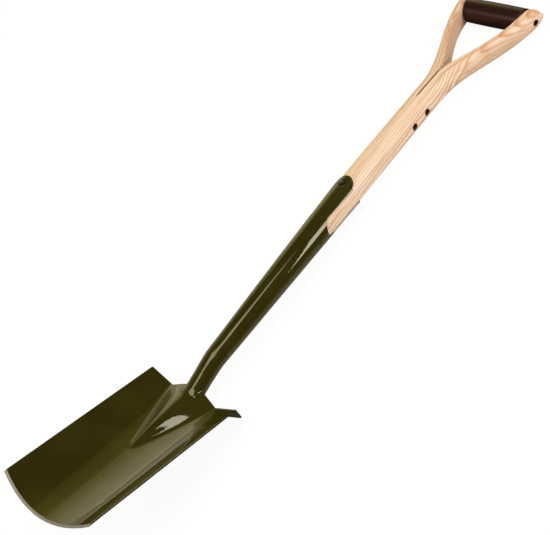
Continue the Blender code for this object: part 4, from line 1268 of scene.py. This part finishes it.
def make_ash():
    """Oiled ash: growth rings that run with the bent arms, open pores in them and a pale sheen."""
    settings = bpy.context.scene.spade_wood
    material, bench, shader = start_material("oiled_ash")
    grain = bench.wire('ShaderNodeAttribute', {"attribute_name": "grain"}, {}, "Vector")
    across, depth, along = bench.split(grain)
    turn = RING_TURN * bench.band(along, *RING_TURN_SPAN)
    turned = bench.wire('ShaderNodeVectorRotate', {"rotation_type": 'Z_AXIS'},
                        {"Vector": grain, "Angle": turn})
    ring_across, ring_depth, _ = bench.split(turned)
    wander = bench.streaks(grain, (14.0, 14.0, 3.0))
    flutter = bench.streaks(grain, (110.0, 110.0, 9.0), 3.0)
    lean = along * RING_LEAN + (along - CROTCH).at_least(0.0) * RING_LEAN_IN_ARMS
    reach = hypotenuse(ring_across + PITH_ACROSS, ring_depth + PITH_DEPTH) + lean
    reach = reach + (wander - 0.5) * RING_WANDER + (flutter - 0.5) * RING_FLUTTER
    ring_band = bench.ramp((reach / settings.ring_spacing).maths('FRACT'), RING_TONES)
    streak = bench.streaks(grain, (420.0, 420.0, 6.0), 3.0, 0.6)
    fibre = bench.streaks(grain, (1300.0, 1300.0, 14.0), 3.0, 0.6)
    fleck = bench.streaks(grain, (2200.0, 2200.0, 90.0))
    board = bench.streaks(grain, (45.0, 45.0, 5.0))
    tone = ring_band * (0.4 + 0.6 * bench.band(board, 0.38, 0.60))
    tone = tone + 0.2 * bench.band(along, *RING_DARKENING_SPAN)
    wood = bench.blend(tone, settings.pale, settings.ring)
    wood = bench.blend(bench.band(streak, 0.50, 0.62) * 0.6, wood, settings.ring)
    wood = bench.blend(bench.band(fibre, 0.45, 0.75) * 0.3, wood, settings.ring)
    pores = bench.band(fleck, 0.60, 0.72) * bench.band(tone, 0.15, 0.7)
    wood = bench.blend(pores * 0.6, wood, settings.pore_and_kerf_shade)
    wood = bench.shade(wood, 0.97 + 0.06 * board)
    # Painted shade: the saw cut's walls are darkened to the pore colour and partly to the shade colour
    half_kerf = 0.5 * SAW_KERF
    kerf = bench.band(across.maths('ABSOLUTE'), half_kerf + KERF_SHADE_REACH, half_kerf)
    kerf = kerf * bench.band(along, SPLIT_START - MM, SPLIT_START)
    kerf = kerf * bench.band(along, CROTCH + KERF_SHADE_END, CROTCH)
    wood = bench.blend(kerf, wood, settings.pore_and_kerf_shade)
    hollow_shade = kerf * 0.3
    # Painted shade in the rivet and pin recesses, over their walls and floors
    recesses = [(PIN_HEIGHT, PIN_RECESS_RADIUS)]
    recesses += [(height, SPLIT_RIVET_RECESS_RADIUS) for height in SPLIT_RIVET_HEIGHTS]
    for height, radius in recesses:
        away = hypotenuse(depth, along - height)
        hole = bench.band(away, radius + RECESS_SHADE_OUTSIDE, radius - RECESS_SHADE_INSIDE)
        hollow_shade = hollow_shade.at_least(hole)
    bench.plug(shader, {"Base Color": bench.blend(hollow_shade, wood, settings.cut),
                        "Roughness": settings.roughness + 0.12 * fibre + 0.4 * hollow_shade,
                        "Normal": bench.bump(ring_band * -0.5 + pores * -1.0 + fibre * 0.35,
                                             ASH_GRAIN_DEPTH, 0.6)})
    return material


def make_stained_grip():
    """Dark lacquered wood, its grain running along the grip."""
    settings = bpy.context.scene.spade_grip
    material, bench, shader = start_material("stained_grip_wood")
    place = bench.place()
    fibre = bench.streaks(place, (22.0, 700.0, 700.0), 3.0, 0.6)
    cloud = bench.streaks(place, (10.0, 60.0, 60.0))
    pale = bench.band(fibre, 0.40, 0.72) * (0.4 + 0.9 * cloud)
    bench.plug(shader, {"Base Color": bench.blend(pale, settings.stain, settings.stain_light),
                        "Specular Tint": settings.lacquer,
                        "Roughness": settings.roughness + 0.15 * (fibre - 0.5),
                        "Normal": bench.bump(fibre, GRIP_GRAIN_DEPTH, 0.5)})
    return material


def make_rivet_steel():
    """Dull dark rivet steel with a little tarnish."""
    settings = bpy.context.scene.spade_rivets
    material, bench, shader = start_material("tarnished_rivet_steel")
    place = bench.place()
    spots = bench.noise(place, 700.0, 4.0, 0.6)
    grit = bench.noise(place, 2600.0)
    tarnish = bench.band(spots, 0.45, 0.68)
    bench.plug(shader, {"Base Color": bench.blend(tarnish, settings.steel, settings.rust),
                        "Metallic": 1.0 - 0.55 * tarnish,
                        "Roughness": settings.roughness + 0.25 * (spots - 0.4),
                        "Normal": bench.bump(spots + grit * 0.4, TARNISH_DEPTH, 0.6)})
    return material


# Geometry Nodes

def start_geometry_tree(name, sizes):
    """A modifier tree on geometry, with a named input for each size and one for the material."""
    tree = bpy.data.node_groups.new(name, 'GeometryNodeTree')
    for label, kind in (("Geometry", "Geometry"), *sizes, ("Material", "Material")):
        tree.interface.new_socket(label, in_out='INPUT', socket_type="NodeSocket" + kind)
    tree.interface.new_socket("Geometry", in_out='OUTPUT', socket_type='NodeSocketGeometry')
    bench = Bench(tree)
    entry = bench.node('NodeGroupInput')
    return bench, {socket.name: Wire(tree, socket) for socket in entry.outputs if socket.name}


def finish_geometry_tree(bench, geometry, material):
    """Every tree ends in real geometry with its material set."""
    real = bench.wire('GeometryNodeRealizeInstances', {}, {0: geometry})
    dressed = bench.wire('GeometryNodeSetMaterial', {}, {"Geometry": real, "Material": material})
    bench.node('NodeGroupOutput', {}, {0: dressed})
    return bench.tree


def run_tree(piece, tree, values):
    """Put the tree on a piece with its inputs set by identifier, and keep only the result."""
    modifier = piece.modifiers.new(tree.name, 'NODES')
    modifier.node_group = tree
    for item in tree.interface.items_tree:
        if item.in_out == 'INPUT' and item.name in values:
            modifier[item.identifier] = values[item.name]
    plain_mesh(piece)


def make_repeat_tree():
    """Sets copies of one rivet or burr along the shaft, a step apart."""
    bench, given = start_geometry_tree("rivets_along_shaft", [
        ("Count", "Int"), ("First Place", "Vector"), ("Step", "Vector")])
    line = bench.wire('GeometryNodeMeshLine', {}, {
        "Count": given["Count"], "Start Location": given["First Place"], "Offset": given["Step"]})
    copies = bench.wire('GeometryNodeInstanceOnPoints', {}, {"Points": line, "Instance": given["Geometry"]})
    return finish_geometry_tree(bench, copies, given["Material"])


def make_grip_tree():
    """A barrel between two leaning faces, with rounded ends, from its sizes.

    Along half its length the grid bears the barrel first, then the rounded edge, then the end face.
    """
    bench, given = start_geometry_tree("barrel_grip", [
        (size, "Float") for size in ("Half Length", "Middle Radius", "End Radius", "Edge", "End Slope")])
    grid = bench.wire('GeometryNodeMeshGrid', {}, {
        "Size X": 2.0, "Size Y": 1.0,
        "Vertices X": GRIP_LENGTH_SEGMENTS + 1, "Vertices Y": GRIP_ROUND_SEGMENTS + 1})
    level, round_share, _ = bench.split(bench.wire('GeometryNodeInputPosition'))
    turn = (round_share + 0.5) * (2 * math.pi)
    size = level.maths('ABSOLUTE')
    edge = given["Edge"]
    body = (size / GRIP_BODY_SHARE).at_most(1.0)
    corner = bench.span(size, GRIP_BODY_SHARE, GRIP_EDGE_SHARE) * QUARTER_TURN
    closing = bench.span(size, GRIP_EDGE_SHARE, 1.0)
    reach = body * (given["Half Length"] - edge) + edge * corner.maths('SINE')
    barrel = given["Middle Radius"] + (given["End Radius"] - given["Middle Radius"]) * body * body
    radius = (barrel - edge + edge * corner.maths('COSINE')) * (1.0 - closing)
    up = radius * turn.maths('SINE')
    lean = given["End Slope"] * up * reach / given["Half Length"]
    place = bench.wire('ShaderNodeCombineXYZ', {}, {
        0: level.maths('SIGN') * (reach + lean), 1: radius * turn.maths('COSINE'), 2: up})
    barrel_mesh = bench.wire('GeometryNodeSetPosition', {}, {"Geometry": grid, "Position": place})
    closed = bench.wire('GeometryNodeMergeByDistance', {}, {
        "Geometry": barrel_mesh, "Distance": GRIP_SEAM_MERGE})
    return finish_geometry_tree(bench, closed, given["Material"])


# Studio

def seen_white(bench, colour, shadow, mirrored):
    """A surface that the camera sees at the strength of its colour, less its shadow.

    In the gloss paint it is a lit board instead. That falls into the dark to the right of the spade and
    near the handle, and grows brighter far to the left.
    """
    path = bench.node('ShaderNodeLightPath')
    camera, glossy, through = [Wire(bench.tree, path.outputs[kind]) for kind in
                               ("Is Camera Ray", "Is Glossy Ray", "Is Transmission Ray")]
    glow = bench.wire('ShaderNodeEmission', {}, {
        "Color": colour, "Strength": 1.0 - SHADOW_GLOW_LOSS * shadow})
    shaded = bench.wire('ShaderNodeBsdfDiffuse', {}, {"Color": toned(colour, shadow)})
    both = bench.wire('ShaderNodeAddShader', {}, {0: glow, 1: shaded})
    across, towards_handle, _ = bench.split(bench.place())
    level = 1.0 - BOARD_RIGHT_LOSS * bench.band(across, *BOARD_RIGHT_SPAN)
    level = level + BOARD_LEFT_GAIN * bench.band(across, *BOARD_LEFT_SPAN)
    near_handle = bench.band(towards_handle, *BOARD_HANDLE_SPAN)
    near_handle = near_handle * bench.band(across, *BOARD_HANDLE_SIDE_SPAN)
    board = bench.shade(mirrored, level * (1.0 - BOARD_HANDLE_LOSS * near_handle))
    lit = bench.wire('ShaderNodeBsdfDiffuse', {}, {
        "Color": bench.blend(glossy, toned(colour, FLOOR_BOUNCE), board)})
    return bench.wire('ShaderNodeMixShader', {}, {0: camera.at_least(through), 1: lit, 2: both})


def backdrop_bmesh():
    """A round floor that sweeps up to a low wall far away."""
    profile = [(0.0, radius) for radius in (0.0, 1.0, 2.5, FLOOR_RADIUS)]
    profile += [(SWEEP_RADIUS - SWEEP_RADIUS * math.cos(turn), FLOOR_RADIUS + SWEEP_RADIUS * math.sin(turn))
                for turn in steps(0.0, SWEEP_TURN, SWEEP_ROWS)[1:]]
    profile.append(BACKDROP_TOP)
    bm = bmesh.new()
    rings = lathe_rings(bm, profile, BACKDROP_SEGMENTS, lambda along, one, other: (one, other, along))
    join_rings(bm, rings[::-1])
    return bm


def direction_to(azimuth, elevation):
    """Unit vector from degrees: azimuth from +X towards +Y, elevation up from the floor."""
    az = math.radians(azimuth)
    el = math.radians(elevation)
    return Vector((math.cos(el) * math.cos(az), math.cos(el) * math.sin(az), math.sin(el)))


# Softboxes: name, place, aim, turn in degrees, width, height, brightness and colour
SOFTBOXES = (
    ("ceiling_softbox", (0.061, -0.033, 2.605), (0.061, -0.033, 0.0),
     28.4, 1.719, 1.217, 4.2, (1.0, 0.94, 0.76)),
    ("frog_softbox", FROG_AIM + direction_to(71.12, 58.63) * 6.973, FROG_AIM,
     -54.8, 0.397, 0.738, 6.6, PLAIN_WHITE),
    ("right_softbox", TUBE_AIM + direction_to(33.0, 24.6) * 1.951, TUBE_AIM,
     -23.6, 0.72, 0.887, 8.0, PLAIN_WHITE),
    ("front_softbox", (-0.9, -1.5, 1.5), TUBE_AIM,
     0.0, 1.8, 1.1, 2.2, PLAIN_WHITE),
)


def hang_softbox(name, place, aim, turn, width, height, level, colour):
    """A rectangular lamp of a given brightness, facing its aim and turned by degrees about that line."""
    facing = (Vector(place) - Vector(aim)).normalized()
    side = Vector((0.0, 0.0, 1.0)).cross(facing)
    side = side.normalized() if side.length > 0.01 else Vector((1.0, 0.0, 0.0))
    side.rotate(Quaternion(facing, math.radians(turn)))
    lamp = bpy.data.lights.new(name, 'AREA')
    lamp.shape = 'RECTANGLE'
    lamp.size = width
    lamp.size_y = height
    lamp.energy = LAMP_POWER * width * height * level
    lamp.color = colour
    box = bpy.data.objects.new(name, lamp)
    bpy.context.scene.collection.objects.link(box)
    turned = Matrix((side, facing.cross(side), facing)).transposed().to_4x4()
    box.matrix_world = Matrix.Translation(place) @ turned


def hang_left_wall(aim):
    """A warm lit wall to the left, brightest low down, fading upwards in bands, dimmer towards its end."""
    for azimuth, width, bands in LEFT_WALL:
        foot = aim + direction_to(azimuth, 0.0) * LEFT_WALL_DISTANCE
        for low, high, level, blue in bands:
            bottom, top = [LEFT_WALL_DISTANCE * math.tan(math.radians(edge)) for edge in (low, high)]
            up = Vector((0.0, 0.0, 0.5 * (bottom + top)))
            hang_softbox("left_wall", foot + up, aim + up, 0.0, width, top - bottom, level,
                         (1.0, LEFT_WALL_GREEN, blue))


# Operators

class SPADE_OT_blade(bpy.types.Operator):
    """Make the dished blade with its frog, treads and ground edge"""
    bl_idname = "spade.blade"
    bl_label = "Blade"

    def execute(self, context):
        blade = make_piece("blade_sheet", blade_bmesh(), 28.0)
        store_edge_distance(blade)
        hand_over(blade, make_olive_paint("olive_blade_paint", True), "olive_paint", "blade")
        return {'FINISHED'}


class SPADE_OT_socket(bpy.types.Operator):
    """Make the strapped socket and the fillet at its foot"""
    bl_idname = "spade.socket"
    bl_label = "Socket"

    def execute(self, context):
        paint = make_olive_paint()
        for name, shape, node in (("strapped_socket", socket_bmesh, "socket"),
                                  ("socket_fillet", fillet_bmesh, "socket_weld")):
            hand_over(make_piece(name, shape(), 35.0), paint, "olive_paint", node)
        return {'FINISHED'}


class SPADE_OT_shaft(bpy.types.Operator):
    """Make the ash shaft with its split arms and rivet recesses"""
    bl_idname = "spade.shaft"
    bl_label = "Shaft"

    def execute(self, context):
        shaft = make_piece("split_ash_shaft", shaft_bmesh(), 35.0)
        for height in SPLIT_RIVET_HEIGHTS:
            reach = shaft_radius(height)
            cut_recess(shaft, height, reach, reach - SPLIT_RIVET_RECESS_DEPTH,
                       SPLIT_RIVET_RECESS_RADIUS, 0.0)
        cut_recess(shaft, PIN_HEIGHT, ARM_OUTER_AT_PIN, ARM_OUTER_AT_PIN - PIN_RECESS_DEPTH,
                   PIN_RECESS_RADIUS, HANDLE_TWIST)
        shaft.data.shade_smooth()
        shaft.data.set_sharp_from_angle(angle=math.radians(35.0))
        store_grain(shaft)
        hand_over(shaft, make_ash(), "ash_wood", "ash_shaft")
        return {'FINISHED'}


class SPADE_OT_grip(bpy.types.Operator):
    """Make the stained barrel grip"""
    bl_idname = "spade.grip"
    bl_label = "Grip"

    def execute(self, context):
        grip = make_piece("barrel_grip", bmesh.new(), 30.0)
        run_tree(grip, make_grip_tree(), {
            "Half Length": arm_inner_at_pin() - SEAT_GAP, "Middle Radius": GRIP_MIDDLE_RADIUS,
            "End Radius": GRIP_END_RADIUS, "Edge": GRIP_EDGE, "End Slope": ARM_INNER_SLOPE,
            "Material": make_stained_grip()})
        place = Matrix.Translation((0.0, shaft_line(PIN_HEIGHT), PIN_HEIGHT))
        grip.data.transform(LAID @ place @ Matrix.Rotation(HANDLE_TWIST, 4, 'Z'))
        grip.data.shade_smooth()
        hand_over(grip, None, "stained_wood", "grip")
        return {'FINISHED'}


class SPADE_OT_rivets(bpy.types.Operator):
    """Make the rivets, burrs and grip pin"""
    bl_idname = "spade.rivets"
    bl_label = "Rivets"

    def execute(self, context):
        tree = make_repeat_tree()
        steel = make_rivet_steel()
        paint = make_olive_paint("olive_rivet_paint")
        low, high = SPLIT_RIVET_HEIGHTS
        split_step = (0.0, shaft_line(high) - shaft_line(low), high - low)
        split_floor = shaft_radius(low) - SPLIT_RIVET_RECESS_DEPTH
        pin_floor = ARM_OUTER_AT_PIN - PIN_RECESS_DEPTH
        split_sizes = (split_floor, SPLIT_RIVET_RADIUS, SPLIT_RIVET_HEAD_RADIUS)
        pin_sizes = (pin_floor, PIN_RADIUS, PIN_HEAD_RADIUS)
        across = Matrix.Identity(4)
        forward = Matrix.Rotation(QUARTER_TURN, 4, 'Z')
        handle = Matrix.Rotation(HANDLE_TWIST, 4, 'Z')
        bare = (steel, "rivet_steel")
        painted = (paint, "olive_paint")
        rows = (
            (bare, "split_rivets", cross_rivet_profile(*split_sizes, SPLIT_RIVET_HEAD_THICKNESS),
             across, low, "split_rivet_lower", "split_rivet_upper"),
            (bare, "split_rivet_burrs", burr_profile(*split_sizes),
             across, low, "split_rivet_burr_lower", "split_rivet_burr_upper"),
            (bare, "grip_pin_rivet", cross_rivet_profile(*pin_sizes, PIN_HEAD_THICKNESS),
             handle, PIN_HEIGHT, "grip_pin"),
            (bare, "grip_pin_washer", burr_profile(*pin_sizes), handle, PIN_HEIGHT, "grip_pin_burr"),
            (painted, "front_strap_rivet", strap_rivet_profile(),
             forward, STRAP_RIVET_HEIGHT, "strap_rivet"),
            (painted, "side_socket_rivet", socket_rivet_profile(),
             across, SOCKET_RIVET_HEIGHT, "socket_rivet"),
        )
        for (material, slot), name, profile, turn, height, *nodes in rows:
            rivet = make_piece(name, turned_bmesh(profile), 40.0, turn)
            run_tree(rivet, tree, {"Count": len(nodes), "First Place": (0.0, shaft_line(height), height),
                                   "Step": split_step, "Material": material})
            rivet.data.transform(LAID)
            hand_over(rivet, None, slot, *nodes)
        return {'FINISHED'}


class SPADE_OT_studio(bpy.types.Operator):
    """Make the pale floor, the soft lamps and the camera"""
    bl_idname = "spade.studio"
    bl_label = "Studio"

    def execute(self, context):
        settings = context.scene.spade_studio
        lowered = Matrix.Translation((0.0, 0.0, -FLOOR_DROP))
        floor = make_piece("studio_floor", backdrop_bmesh(), 60.0, lowered)
        material, bench, shader = start_material("pale_floor")
        surface = seen_white(bench, settings.floor, settings.shadow, settings.mirrored_floor)
        bench.plug(bench.tree.nodes["Material Output"], {"Surface": surface})
        bench.tree.nodes.remove(shader)
        floor.data.materials.append(material)
        for softbox in SOFTBOXES:
            hang_softbox(*softbox)
        hang_left_wall(WALL_AIM)
        world = bpy.data.worlds.new("studio_dusk")
        world.use_nodes = True
        Bench(world.node_tree).plug(world.node_tree.nodes["Background"], {"Color": (0.03, 0.03, 0.03)})
        context.scene.world = world
        lens = bpy.data.cameras.new("photo_lens")
        lens.sensor_width = 36.0
        lens.lens = settings.lens
        camera = bpy.data.objects.new("photo_camera", lens)
        context.scene.collection.objects.link(camera)
        camera.location = CAMERA_PLACE
        camera.rotation_euler = [math.radians(turn) for turn in CAMERA_TURN]
        context.scene.camera = camera
        context.scene.view_settings.view_transform = 'Standard'
        return {'FINISHED'}


class SPADE_PT_panel(bpy.types.Panel):
    """Lists the spade's settings and pieces"""
    bl_idname = "SPADE_PT_panel"
    bl_label = "Border Spade"
    bl_space_type = 'VIEW_3D'
    bl_region_type = 'UI'
    bl_category = "Border Spade"

    def draw(self, context):
        layout = self.layout
        for name in SETTINGS:
            group = getattr(context.scene, name)
            box = layout.box()
            for key in type(group).__annotations__:
                box.prop(group, key)
        for operator in OPERATORS:
            layout.operator(operator.bl_idname)


SETTINGS = {
    "spade_steelwork": SteelworkSettings,
    "spade_wood": WoodSettings,
    "spade_grip": GripSettings,
    "spade_rivets": RivetSettings,
    "spade_studio": StudioSettings,
}
OPERATORS = (SPADE_OT_blade, SPADE_OT_socket, SPADE_OT_shaft, SPADE_OT_grip, SPADE_OT_rivets,
             SPADE_OT_studio)


def register():
    for name, group in SETTINGS.items():
        bpy.utils.register_class(group)
        setattr(bpy.types.Scene, name, PointerProperty(type=group))
    for operator in OPERATORS:
        bpy.utils.register_class(operator)
    bpy.utils.register_class(SPADE_PT_panel)


def unregister():
    bpy.utils.unregister_class(SPADE_PT_panel)
    for operator in reversed(OPERATORS):
        bpy.utils.unregister_class(operator)
    for name, group in SETTINGS.items():
        delattr(bpy.types.Scene, name)
        bpy.utils.unregister_class(group)


def main():
    register()
    bpy.ops.spade.blade()
    bpy.ops.spade.socket()
    bpy.ops.spade.shaft()
    bpy.ops.spade.grip()
    bpy.ops.spade.rivets()
    bpy.ops.spade.studio()


if __name__ == "__main__":
    main()
